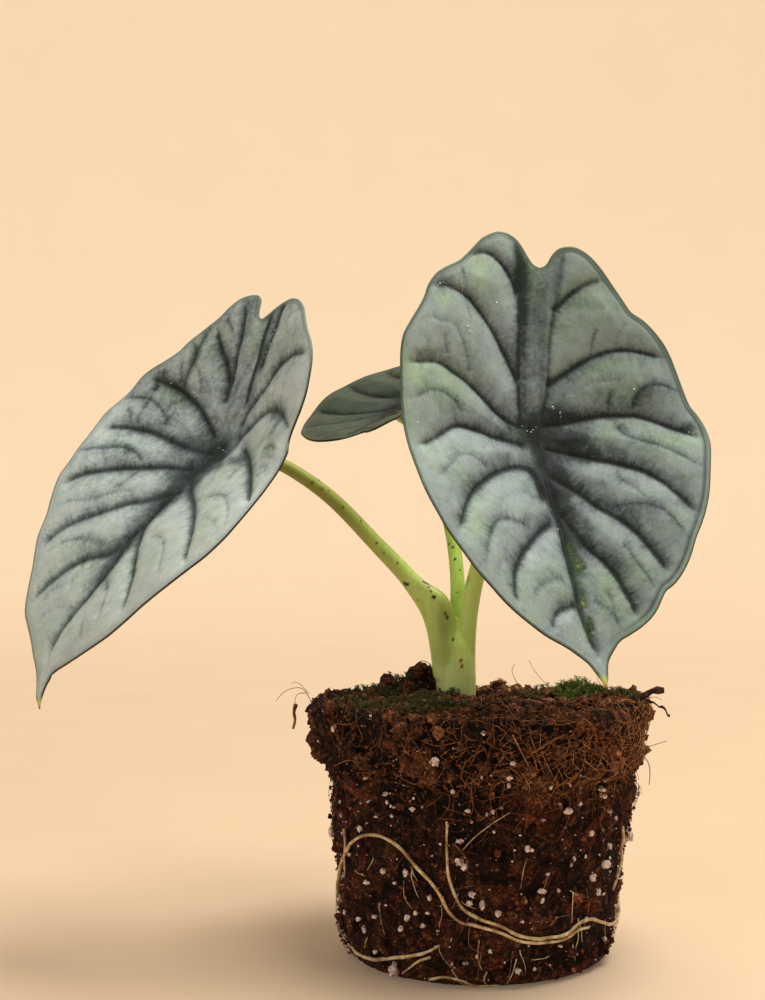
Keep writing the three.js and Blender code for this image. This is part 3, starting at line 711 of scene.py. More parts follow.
def plugSpot(px, py):  # where a pixel of the picture falls on the plug: turn and climb
    start, line = sightLine(px, py)
    for away in np.arange(480, 600, 0.25):
        x, y, z = start + line * away
        turn = math.atan2(x, -y)
        if z < plugTop and math.hypot(x, y) < soilRadius(turn, max(z, 0)):
            return turn, max(z, 0.5)
        if z >= plugTop and z < topHeight(x, y) and math.hypot(x, y) < plug["collarRadius"]:
            return turn, plugTop + float(soilRadius(turn, plugTop)) - math.hypot(x, y)
    return None


roots = {
    "root_long": [
        (-14, 44), (-14, 36), (-13, 29), (-9, 22.5), (-2, 19), (6, 17), (14, 14), (23, 13), (34, 13.5), (42, 15.2),
        (50, 15.2), (60, 12.8), (72, 11), (88, 14), (104, 20), (118, 22)],
    "root_left": [
        (-128, 20), (-112, 14), (-98, 11.5), (-88, 15), (-80, 22), (-67, 30), (-55, 36), (-43, 38.5), (-34, 37.2),
        (-27, 33), (-20, 28), (-16, 24.5), (-13.5, 20.8), (-9, 17.6), (-3, 15.8), (6, 14), (14, 11.4), (24, 10.6),
        (33, 10.8), (42, 12.2), (48, 12)],
    "root_foot": [(-74, 5), (-62, 4.2), (-50, 4.4), (-38, 6.6), (-26, 8.6), (-17, 11.5)],
    "root_right": [(66, 38), (71, 32.5), (73, 27), (69, 20.5)],
}


def rootLine(route, out=0.35):
    turn, height = np.radians([r[0] for r in route]), np.array([r[1] for r in route], float)
    return smoothPath(onPlug(turn, height, out), 0.6)


def makePlug(material):
    n = plug["spokes"]
    turn = np.linspace(0, 2 * np.pi, n, endpoint=False)
    rows = []
    for i in range(plug["baseRows"]):
        r = plug["baseRadius"] * (i + 0.02) / plug["baseRows"]
        rows.append(columns(r * np.sin(turn), -r * np.cos(turn), np.zeros(n)))
    for i in range(plug["sideRows"]):
        climb = plugTop * (i / (plug["sideRows"] - 1))
        wander = 1.9 * clouds(columns(40 * np.sin(turn), 40 * np.cos(turn), turn * 0), 6, 3)
        wander = wander * math.exp(-(((climb - 53) / 7) ** 2))
        rows.append(onPlug(turn, np.clip(climb + wander, 0, plugTop)) + columns(0, 0, -wander))
    for i in range(1, plug["topRows"]):
        over = plug["collarRadius"] * i / plug["topRows"]
        rows.append(onPlug(turn, plugTop + over * (soilRadius(turn, plugTop) - 0.1) / plug["collarRadius"]))
    grid = np.array(rows)
    along = np.roll(grid, -1, 1) - np.roll(grid, 1, 1)
    up = np.gradient(grid, axis=0)
    out = np.cross(along, up)
    out /= np.maximum(np.linalg.norm(out, axis=-1, keepdims=True), 1e-9)
    points, out = grid.reshape(-1, 3), out.reshape(-1, 3)
    bent = points + 0.7 * columns(*(clouds(points, 2.6, s) for s in (31, 32, 33)))
    clod, clodDraw = lumpsOf(bent, 6.5, 5)
    crumb, crumbDraw = lumpsOf(bent, 2.7, 15)
    bit, bitDraw = lumpsOf(bent, 1.35, 25)
    high = inCollar(points[:, 2])
    onTop = np.arange(len(points)) >= n * (plug["baseRows"] + plug["sideRows"])
    rise = (1.0 + 1.2 * high) * (clod - 0.35) + (1.0 + 0.5 * high) * (crumb - 0.35) + 0.55 * (bit - 0.3)
    rise += 0.8 * clouds(points, 8, 41) * (0.6 + high) - (0.8 + 0.9 * high) * ease(clouds(points, 3.6, 43), 0.25, 0.8)
    rise -= np.where(onTop, 0.1, 0.25)
    mound = np.exp(-(((points[:, 0] + 17.5) / 4.5) ** 2) - ((points[:, 1] - 2) / 5) ** 2)  # beside the stem
    rise += 1.6 * onTop * mound
    rise *= ease(points[:, 2], -0.5, 5) * 0.9 + 0.1
    near = np.full(len(points), 99.0)
    for route in roots.values():
        for spot in rootLine(route)[::2]:
            near = np.minimum(near, np.linalg.norm(points - spot, axis=1))
    bed = ease(near, 0.9, 2.6)
    rise = rise * bed + (1 - bed) * np.clip(rise, -1.1, -0.3)
    points = points + out * rise[:, None]
    points[:, 2] = np.maximum(points[:, 2], 0)
    faces = []
    count = len(rows)
    for i in range(count - 1):
        a = i * n + np.arange(n)
        b = i * n + (np.arange(n) + 1) % n
        faces.append(columns(a, b, b + n, a + n))
    piece = meshFrom("soil_plug", points, np.vstack(faces))
    # painted shade: the lower the surface sits among the crumbs and clods, the darker
    hollow = np.clip(0.5 - (0.66 + 0.34 * high) * (rise + np.where(onTop, 0.3, 0.5)), 0, 1)
    hollow = hollow * (0.45 + 0.55 * ease(points[:, 2], 0, 3))
    written(piece, hollow=hollow, draw=0.5 * crumbDraw + 0.25 * bitDraw + 0.25 * clodDraw)
    pick(piece)
    bpy.ops.object.mode_set(mode="EDIT")
    bpy.ops.mesh.select_all(action="DESELECT")
    bpy.ops.mesh.select_mode(type="EDGE")
    bpy.ops.mesh.select_non_manifold()
    bpy.ops.mesh.edge_face_add()  # the two small poles are closed
    bpy.ops.mesh.select_all(action="SELECT")
    bpy.ops.mesh.normals_make_consistent(inside=False)
    bpy.ops.object.mode_set(mode="OBJECT")
    finished(piece, material, "soil", "root_ball")


def strayCrumbs(count, seed):  # turns and climbs all over the plug, more of them at the collar
    random = np.random.default_rng(seed)
    turn = random.uniform(-np.pi, np.pi, count)
    climb = np.where(random.random(count) < 0.52, random.uniform(1, plugTop, count), random.uniform(50, 84, count))
    deep = random.random(count) < 0.3
    climb = np.where(deep, plugTop + plug["collarRadius"] * (1 - np.sqrt(random.random(count))), climb)
    return turn, climb, random


crumbs = {
    "soil_crumbs": {"count": 5900, "detail": 1, "low": 0.22, "high": 0.62, "seed": 61},
    "soil_clods": {"count": 470, "detail": 2, "low": 0.6, "high": 1.5, "seed": 62},
}


def makeCrumbs(material):
    for name, look in crumbs.items():
        count, seed = look["count"], look["seed"]
        turn, climb, random = strayCrumbs(count, seed)
        size = look["low"] + (look["high"] - look["low"]) * random.random(count) ** 2
        spots = onPlug(turn, climb, 0.7 * random.random(count) - 0.35 + 0.1 * size)
        lines = np.vstack([rootLine(route) for route in roots.values()])
        clear = np.array([np.linalg.norm(lines - spot, axis=1).min() for spot in spots]) > 0.55 + size
        spots, size, count = spots[clear], size[clear], int(clear.sum())
        spots[:, 2] = np.maximum(spots[:, 2], size)
        sizes = size[:, None] * random.uniform(0.6, 1.35, (count, 3))
        shapes = [pebble(look["detail"], 0.34, seed + k) for k in range(4)]
        piece = strewn(name, shapes, spots, sizes, turned(count, random))
        draws = np.concatenate([np.repeat(random.random(len(spots[k::4])), len(shapes[k][0])) for k in range(4)])
        written(piece, hollow=np.full(len(draws), 0.05), draw=draws)
        finished(piece, material, "soil", angle=40)


def strand(random, turn, climb, length, heading, lift, curl, steps=7):  # one fibre that lies on the plug
    line = []
    for i in range(steps + 1):
        rise = max(lift, 0) * math.sin(math.pi * (0.15 + 0.85 * i / steps)) + min(lift, 0) * 0.6 + 0.35
        line.append(onPlug(turn, climb, rise))
        turn += length / steps * math.cos(heading) / plug["waistRadius"]
        climb += length / steps * math.sin(heading)
        climb = max(1.0, climb)
        heading += curl * length / steps + random.normal() * 0.15
    return np.array(line)


fibres = {  # right: the share that is drawn to the right of the collar
    "coir_fine": {"count": 1600, "right": 0.34, "long": (2, 7), "lift": 0.5, "thick": (0.05, 0.09), "steps": 5},
    "coir_coarse": {"count": 450, "right": 0.6, "long": (4, 13), "lift": 0.6, "thick": (0.07, 0.16), "steps": 7},
    "straw": {"count": 36, "right": 0.6, "long": (4, 13), "lift": 0.6, "thick": (0.07, 0.16), "steps": 7},
}
# Fibres that the picture shows, as pixels from end to end and width in pixels.
seenFibres = [
    ([(530, 753), (541, 747), (552, 740), (564, 734)], 2.6), ([(512, 734), (519, 748), (528, 766)], 3.4),
    ([(540, 751), (547, 766), (554, 781)], 1.6), ([(566, 733), (571, 761), (580, 771)], 1.4),
    ([(581, 737), (583, 751), (582, 766)], 1.3), ([(613, 731), (619, 738), (626, 743)], 1.6),
    ([(480, 820), (496, 809), (511, 799)], 1.7), ([(537, 797), (540, 803), (543, 807)], 1.6),
    ([(397, 683), (404, 693), (405, 711)], 1.4),
    ([(373, 720), (374, 704), (391, 697), (409, 706), (429, 710)], 1.3),
    ([(431, 731), (434, 726), (436, 720)], 1.5), ([(441, 756), (450, 749)], 1.4), ([(454, 749), (464, 746)], 1.6),
    ([(464, 734), (471, 740), (477, 739)], 1.3), ([(534, 671), (537, 679), (541, 690)], 1.2),
    ([(336, 766), (352, 760), (369, 766)], 1.3), ([(497, 700), (512, 716), (520, 731)], 1.6),
    ([(541, 716), (556, 724), (572, 722)], 1.5), ([(553, 762), (561, 777), (562, 790)], 1.3),
    ([(590, 748), (601, 757), (612, 772)], 1.5), ([(584, 888), (587, 903), (585, 918)], 1.1),
    ([(549, 925), (556, 917), (567, 915)], 1.5), ([(541, 883), (548, 876)], 1.6),
    ([(512, 950), (510, 966), (508, 980)], 1.4),
    ([(532, 983), (537, 974), (541, 966)], 1.2),
    ([(470, 921), (470, 946), (481, 953), (480, 960), (477, 978)], 1.5),
]
# Fibres that stick out of the rim, from the soil outwards: pixels, and width in pixels.
strayFibres = [
    ([(312, 697), (303, 689), (294, 688), (284, 692), (276, 701)], 1.0),
    ([(309, 694), (301, 685), (295, 682), (291, 684)], 0.8),
    ([(306, 693), (298, 694), (295, 700), (296, 708)], 1.0),
    ([(296, 704), (294, 712), (295, 720), (293, 729)], 5.0),
    ([(640, 750), (651, 746), (660, 743), (667, 741)], 1.2),
    ([(640, 752), (648, 762), (650, 773), (649, 785)], 1.4),
    ([(636, 706), (645, 700), (655, 697), (662, 700)], 1.0), ([(330, 752), (322, 757), (316, 752)], 1.0),
    ([(514, 680), (512, 671), (515, 664)], 1.0), ([(536, 682), (534, 670), (529, 660)], 0.9),
    ([(588, 686), (597, 678), (604, 676)], 0.9),
]


def fromRim(pixels):  # a line in the air, in the plane that faces the camera where it leaves the soil
    starts, rays = zip(*(sightLine(*pixel) for pixel in pixels))
    base = onPlug(*plugSpot(*pixels[0])) if plugSpot(*pixels[0]) else starts[0] + rays[0] * (550 / rays[0][1])
    line = [base] + [start + ray * ((base[1] - start[1]) / ray[1]) for start, ray in zip(starts[1:], rays[1:])]
    return smoothPath(line, 0.6)


def makeFibres(coir, straw):
    random = np.random.default_rng(71)
    for name, look in fibres.items():
        lines, radii = [], []
        for _ in range(look["count"]):
            right = random.random() < look["right"]
            turn = math.radians(random.normal(58, 36)) if right else random.uniform(-math.pi, math.pi)
            climb = random.normal(61, 10) if right or random.random() < 0.55 else random.uniform(3, 110)
            length = random.uniform(*look["long"])
            lift = abs(random.normal()) * look["lift"] - 0.45
            heading = random.uniform(-math.pi, math.pi)
            curl = random.normal() * 0.07
            line = strand(random, turn, min(climb, 112), length, heading, lift, curl, look["steps"])
            lines.append(line)
            radii.append(random.uniform(*look["thick"]) * np.linspace(1, 0.4, len(line)))
        if name == "straw":
            for pixels, wide in seenFibres:
                line = np.array([onPlug(*plugSpot(*pixel), 0.6) for pixel in pixels if plugSpot(*pixel)])
                if len(line) > 1:
                    lines.append(smoothPath(line, 1.2))
                    radii.append(0.09 * wide * np.linspace(1, 0.6, len(lines[-1])))
        if name == "coir_coarse":
            for pixels, wide in strayFibres:
                line = fromRim(pixels)
                lines.append(line)
                knotty = 1 + 0.3 * clouds(line, 0.9, 3) * (wide > 2)
                radii.append(0.1 * wide * np.linspace(1, 0.7, len(line)) * knotty)
        piece = tubes(name, lines, radii, 4)
        finished(piece, straw if name == "straw" else coir, "soil")


# Grains that the picture shows, as pixel and width in pixels. The rest are drawn all round.
seenGrains = [
    (436, 762, 9), (513, 763, 8), (509, 778, 5), (509, 786, 6), (386, 794, 6), (387, 802, 6), (413, 809, 8),
    (568, 811, 9), (609, 811, 6), (591, 833, 8), (460, 841, 7), (453, 792, 5), (459, 862, 10), (464, 867, 7),
    (406, 873, 8), (395, 883, 6), (609, 846, 7), (605, 865, 10), (593, 878, 8), (558, 891, 6), (541, 891, 8),
    (542, 901, 7), (472, 894, 8), (482, 905, 9), (470, 903, 6), (430, 898, 7), (364, 929, 7), (401, 928, 6),
    (407, 918, 7), (345, 912, 5), (375, 917, 6), (428, 913, 5), (498, 913, 7), (518, 971, 8), (394, 971, 12),
    (547, 874, 5), (483, 733, 7), (335, 729, 9), (320, 741, 5), (325, 725, 6), (494, 832, 5), (543, 820, 4),
    (601, 789, 10), (603, 796, 7), (527, 849, 6), (532, 850, 6), (359, 846, 4), (343, 833, 4), (367, 882, 7),
    (586, 918, 4), (612, 935, 6), (560, 946, 4), (452, 964, 4), (466, 963, 5), (571, 865, 5), (522, 922, 4),
]
grains = {"count": 210, "specks": 620, "low": 0.22, "high": 0.72, "perPixel": 0.112}  # radius for a pixel of width


def makeGrains(material):
    random = np.random.default_rng(81)
    spots, sizes = [], []
    for px, py, wide in seenGrains:
        found = plugSpot(px, py)
        if found:
            size = wide * grains["perPixel"]
            spots.append(onPlug(found[0], found[1], 0.1 * size))
            sizes.append(size)
    for _ in range(grains["count"]):
        turn, climb = random.uniform(-math.pi, math.pi), random.uniform(3, 66)
        size = grains["low"] + (grains["high"] - grains["low"]) * random.random() ** 1.6
        if abs(turn) > 1.3 and random.random() < 0.25:
            size *= 2.3
        spots.append(onPlug(turn, climb, random.uniform(-0.35, 0.15)))
        sizes.append(size)
    spots, sizes = np.array(spots), np.array(sizes)
    spots[:, 2] = np.maximum(spots[:, 2], sizes)
    shapes = [pebble(2, 0.36, 90 + k) for k in range(6)]
    wide = sizes[:, None] * random.uniform(0.65, 1.3, (len(sizes), 3))
    piece = strewn("perlite", shapes, spots, wide, turned(len(sizes), random))
    finished(piece, material, "soil", angle=50)
    count = grains["specks"]
    turn, climb = random.uniform(-math.pi, math.pi, count), random.uniform(1.5, 74, count)
    size = 0.1 + 0.2 * random.random(count) ** 2
    spots = onPlug(turn, climb, random.uniform(-0.3, 0.4, count))
    spots[:, 2] = np.maximum(spots[:, 2], size)
    wide = size[:, None] * random.uniform(0.6, 1.4, (count, 3))
    piece = strewn("specks", [pebble(1, 0.3, 96 + k) for k in range(3)], spots, wide, turned(count, random))
    finished(piece, material, "soil", angle=50)


def makeRoots(material):
    random = np.random.default_rng(91)
    for name, route in roots.items():
        if name == "root_left":  # it comes up close under the long one
            route = [(turn, height + 1.3 * float(ease(turn, -14, -2))) for turn, height in route]
        line = rootLine(route)
        line = line + 0.22 * columns(*(clouds(line, 3.5, s) for s in (1, 2, 3)))
        t = np.linspace(-1, 1, len(line))
        thick = 0.46 * (1 - 0.35 * np.abs(t) ** 4) * (1 + 0.2 * clouds(line, 2.6, 7))
        piece = tubes(name + "_skin", [line], [thick], 12)
        finished(piece, material, "root", name)
    thin = [
        [(-62, 38), (-63, 34), (-65, 30.5), (-66, 25)], [(-21, 8.3), (-26, 6.8), (-30, 4.8), (-35, 2.4)],
        [(-23, 1.7), (-16, 2.9), (-9, 2.2), (-4, 0.7), (7, 0.6)], [(-2, 13.5), (-2.5, 9), (-1, 5.5)],
        [(1, 5), (0, 2.5), (1.5, 0.8)], [(12, 8.5), (11, 4), (9.5, 1)], [(36, 24), (36.5, 19), (36, 16)],
        [(-8, 37), (-4, 40), (3, 44), (9, 46.5)],
    ]
    lines, radii = [], []
    for i, route in enumerate(thin):
        line = rootLine(route, 0.75)
        lines.append(line)
        radii.append((0.42 if i < 3 else 0.17) * np.linspace(1, 0.5, len(line)))
    for _ in range(46):
        side = random.uniform(-math.pi, math.pi)
        line = strand(random, side, random.uniform(4, 40), random.uniform(3, 9), random.normal(-1.4, 0.6), 0.3, 0.03)
        lines.append(line)
        radii.append(random.uniform(0.08, 0.17) * np.linspace(1, 0.5, len(line)))
    piece = tubes("root_hairs", lines, radii, 6)
    finished(piece, material, "root")


def makeTwig(bark):
    knots = [(33, -8, 68.5), (38, -9.2, 70.6), (42.5, -9.6, 71.2), (46.4, -10.6, 73.4), (49.3, -11, 73.6)]
    line = smoothPath(knots, 0.35)
    t = np.linspace(0, 1, len(line))
    thick = (1.15 - 0.45 * t) * (1 + 0.28 * clouds(line, 1.3, 3)) + 0.35 * np.exp(-(((t - 0.93) / 0.06) ** 2))
    spur = smoothPath([(43, -9.7, 71.3), (45, -10.6, 70.8), (48.4, -11.6, 69.6), (50.5, -12, 67.6)], 0.35)
    piece = tubes("twig", [line, spur], [thick, 0.28 * np.linspace(1, 0.5, len(spur))], 12)
    points = placesOf(piece)
    middle = line[np.argmin(np.linalg.norm(points[:, None] - line[None], axis=2), axis=1)]
    out = points - middle
    movePoints(piece, middle + out * (1 + 0.3 * clouds(points, 0.8, 5))[:, None])
    finished(piece, bark, "bark", "twig_right")


mossBeds = {  # middle, half widths, shoots, height, how bright
    "moss_right": ((28.5, -2), (8, 8), 430, 4.0, 1.0),
    "moss_front": ((-18, -24), (16, 10), 430, 1.5, 0.12),
}
tufts = [  # loose tufts: middle, half width, shoots, height, how bright
    ((-26, -5), 5.5, 110, 4.0, 0.1), ((-15, -11), 4.5, 80, 3.2, 0.2), ((-34, -14), 5, 50, 1.4, 0.05),
    ((38, -8), 6, 90, 2.6, 0.3),
    ((-21, -1), 4, 60, 3.4, 0.05), ((-8, -7.5), 4, 60, 2.2, 0.1),
    ((13, -6), 5, 50, 1.8, 0.1), ((-4, 20), 9, 90, 1.8, 0.5), ((20, 24), 8, 70, 1.6, 0.3),
    ((-30, 16), 7, 70, 1.8, 0.2),
]


def mossShoot():  # a stem with spreading pointed leaves, each a thin three-sided spike
    points, faces = [], []
    for k in range(9):
        turn, tilt = 2.4 * k, 0.15 if k == 0 else 0.75 + 0.3 * (k % 3)
        low = np.array([0, 0, 0.11 * k])
        reach = 0.62 if k else 0.5
        aim = (math.sin(tilt) * math.cos(turn), math.sin(tilt) * math.sin(turn), math.cos(tilt))
        tip = low + reach * np.array(aim)
        across = 0.13 * np.array([-math.sin(turn), math.cos(turn), 0])
        start = len(points)
        points += [low + across, low - across, low + (0, 0, 0.12), tip]
        faces += [(start + a, start + b, start + c) for a, b, c in ((0, 1, 2), (0, 3, 1), (1, 3, 2), (0, 2, 3))]
    return np.array(points), np.array(faces)


def mossShoots(name, shoot, at, half, count, tall, random):  # shoots over a mound, leaning outwards
    turn = 2.4 * np.arange(count) + random.normal(0, 0.4, count)
    share = np.sqrt((np.arange(count) + 0.5) / count) * (1 + 0.16 * random.normal(size=count))
    x = at[0] + half[0] * share * np.cos(turn)
    y = at[1] + half[1] * share * np.sin(turn)
    lumps = 0.75 + 0.45 * clouds(columns(x, y, x * 0), 3.5, 9)
    z = topHeight(x, y) - 0.4 + tall * lumps * np.clip(1 - share**2, 0, 1) * random.uniform(0.7, 1.1, count)
    z -= 1.6 * ease(clouds(columns(x, y, x * 0), 2.6, 19), 0.1, 0.6) * (tall < 2)
    size = random.uniform(0.7, 1.7, count)
    lean = random.normal(0, 0.45, (count, 2)) + 0.5 * columns(np.cos(turn), np.sin(turn)) * share[:, None]
    spin = random.uniform(0, 2 * np.pi, count)
    c, s = np.cos(spin), np.sin(spin)
    last = columns(0, 0, c * 0 + 1)
    flat = np.stack([columns(c, -s, 0), columns(s, c, 0), last], 1)
    tip = np.stack([columns(1, 0, lean[:, 0]), columns(0, 1, lean[:, 1]), last], 1)
    return strewn(name, [shoot], columns(x, y, z), size[:, None].repeat(3, 1), tip @ flat)


def makeMoss(material):
    random = np.random.default_rng(101)
    shoot = mossShoot()
    for name, (at, half, count, tall, bright) in mossBeds.items():
        piece = mossShoots(name + "_shoots", shoot, at, half, count, tall, random)
        cushion, cushionFaces = pebble(4, 0.16, 7)
        cushion = cushion * (half[0] * 0.86, half[1] * 0.86, tall * 0.8) + (at[0], at[1], 0)
        cushion[:, 2] += topHeight(cushion[:, 0], cushion[:, 1]) - 0.9 + 0.9 * clouds(cushion, 1.8, 3)
        under = meshFrom("bed", cushion, cushionFaces)
        pick(piece, under)
        bpy.ops.object.join()
        spread = clouds(placesOf(piece), 4, 5)
        written(piece, bright=np.clip(bright * (0.7 + 0.5 * spread), 0, 1))
        finished(piece, material, "moss", name, angle=30)
    loose = [mossShoots("loose", shoot, at, (half, half), count, tall, random) for at, half, count, tall, _ in tufts]
    shades = np.concatenate([np.full(len(p.data.vertices), tuft[4]) for p, tuft in zip(loose, tufts)])
    pick(*loose)
    bpy.ops.object.join()
    loose[0].name = "moss_tufts"
    written(loose[0], bright=np.clip(shades * (1 + 0.6 * clouds(placesOf(loose[0]), 3, 5)), 0, 1))
    finished(loose[0], material, "moss", angle=30)


# Stem and stalks, grown together as one skin

stalks = {
    "left": {
        "path": [(-8, -0.6, 76), (-9.4, -0.8, 86), (-12.6, -0.5, 94.2), (-18.9, 0.3, 102.7), (-27.2, 0.6, 111.5),
                 (-40.5, 0.2, 125), (-52.5, -2, 133.3), (-60.5, -4.5, 136.4)],
        "thick": [(0, 4.2), (0.1, 4.2), (0.2, 3.2), (0.33, 2.45), (0.457, 2.2), (0.66, 2.0), (0.81, 1.85),
                  (0.96, 1.6), (1, 1.8)]},
    "right": {
        "path": [(-3.7, -0.6, 76), (-3.2, -0.6, 88), (-2, -0.7, 97), (0.3, -1.5, 107), (2.8, -4, 118),
                 (5.4, -8.5, 129), (8.6, -17, 138.2)],
        "thick": [(0, 3), (0.2, 2.65), (0.4, 2.3), (0.7, 1.85), (0.96, 1.7), (1, 2.2)]},
    "back": {
        "path": [(-6, 1.8, 76), (-5.5, 2.6, 90), (-5.4, 5, 101), (-6.6, 9.5, 113), (-9.6, 15.5, 125),
                 (-14.6, 23, 137.5), (-19, 29.5, 145)],
        "thick": [(0, 2.5), (0.3, 2.05), (0.6, 1.75), (0.96, 1.5), (1, 1.9)]},
}
stem = {
    "x": -6,
    "profile": [(60.3, 4.6), (63, 5.5), (76, 5.5), (81, 5.3), (85, 4.5), (88, 3.2), (89.5, 1.6)],
    # The left sheath's free edge.
    "hump": [(-7.8, -0.8, 82), (-9.0, -1, 89), (-10, -1, 94.4), (-11.3, -1, 96.9), (-15.6, -0.5, 100.2),
             (-18.4, 0, 103.6)],
    "humpThick": [(0, 3.6), (0.3, 3.3), (0.54, 2.95), (0.65, 2.65), (0.86, 2.15), (1, 1.5)],
    "voxel": 0.41,
}
spotsSeen = {  # pixel and width in pixels
    "fleck": [
        (405.5, 584, 3.6), (408, 584.5, 2), (424, 582, 2.5), (427, 583.5, 3), (429, 587, 2.5), (431, 591, 2.2),
        (434, 597, 4.5), (445.5, 613.5, 2.6), (447, 617.5, 3), (453, 640, 2), (319, 480, 1.6), (312, 483, 1.5),
        (322, 489, 1.8), (329, 490, 1.6), (361, 521, 1.8), (377, 543, 2), (343, 507, 1.5), (384, 553, 1.5),
        (449, 544, 1.8), (453, 547, 1.8), (455, 559, 2), (460, 570, 1.4), (457, 593, 1.3), (397, 563, 1.5)],
    "rust": [(461, 661, 2.6), (462, 666, 2.8), (418, 600, 2)],
}


def makeStalks(material):
    lines, radii = [], []
    for name, stalk in stalks.items():
        axes = leafAxes(leaves[name])
        end = np.array(leaves[name]["attach"])
        line = smoothPath([*stalk["path"], end - 2.2 * axes[2], end - 0.4 * axes[2]])
        t = np.linspace(0, 1, len(line))
        thick = np.interp(t, *np.array(stalk["thick"]).T)
        lines.append(line)
        radii.append(thick)
    height = np.array([h for h, _ in stem["profile"]])
    z = np.arange(height[0], height[-1], 0.5)
    lines.append(np.stack([z * 0 + stem["x"], z * 0, z], -1))
    radii.append(np.interp(z, height, [r for _, r in stem["profile"]]))
    hump = smoothPath(stem["hump"])
    lines.append(hump)
    radii.append(np.interp(np.linspace(0, 1, len(hump)), *np.array(stem["humpThick"]).T))
    piece = tubes("stem_and_stalks", lines, radii, 24)
    worked(piece, "REMESH", mode="VOXEL", voxel_size=stem["voxel"] * mm)
    worked(piece, "SMOOTH", factor=0.5, iterations=7)
    points = placesOf(piece)
    left, right, back = (nearLine(points, line) for line in lines[:3])
    onBack = ease(np.minimum(left, right) - back, -0.4, 0.8) * ease(points[:, 2], 84, 92)
    onLeft = ease(np.minimum(back, right) - left, -0.5, 0.5)
    fields = {
        "pale": (1 - ease(points[:, 2], 69, 88)) * 0.9,
        "olive": ease(-points[:, 0], 12, 46) * onLeft
        + 0.45 * ease(points[:, 2], 112, 140) * (1 - onBack) * (1 - onLeft),
        "freshStalkAndLitCollar": onBack,
        "shadow": np.exp(-(((points[:, 0] + 9.2) / 3.2) ** 2)) * np.exp(-(((points[:, 2] - 91) / 9) ** 2)) * 0.85
        * ease(-points[:, 1], 0, 3),
    }
    ragged = 1 + 0.45 * clouds(points, 0.7, 17)
    for key, listed in spotsSeen.items():
        value = np.zeros(len(points))
        for px, py, wide in listed:
            where = seenOn(piece, px, py)
            if where is not None:
                away = np.linalg.norm((points - where) * (1, 1, 0.75), axis=1) * ragged
                value = np.maximum(value, 1 - ease(away, 0.1 * wide, 0.1 * wide + 0.22))
        fields[key] = value
    random = np.random.default_rng(111)
    for _ in range(50):  # dots all round, few enough to leave the seen side as it is
        spot = points[random.integers(len(points))]
        if spot[1] > 0.5:
            away = np.linalg.norm(points - spot, axis=1) * ragged
            fields["fleck"] = np.maximum(fields["fleck"], 0.8 * (1 - ease(away, 0.08, 0.4)))
    scar = [(427, 582), (436, 585.5), (443, 592), (449, 601), (453, 611), (455.5, 619)]
    hits = [seenOn(piece, px, py + 1.5) for px, py in scar]
    line = smoothPath([hit for hit in hits if hit is not None])
    fields["scar"] = (1 - ease(nearLine(points, line), 0.1, 0.75)) * 0.55
    # painted shadow: a dark line down the left edge of the right stalk, under the left sheath
    sheathShadow = smoothPath([(-3.2, -2.6, 103), (-4.4, -3.0, 99.5), (-5.6, -3.4, 95.5), (-6.2, -3.8, 91.5)])
    fields["shadow"] = np.maximum(fields["shadow"], 0.9 * (1 - ease(nearLine(points, sheathShadow), 0.25, 1.5)))
    written(piece, **fields)
    finished(piece, material, "stalk", "stem_base", "petiole_left", "petiole_right", "petiole_back")


# Leaf blades

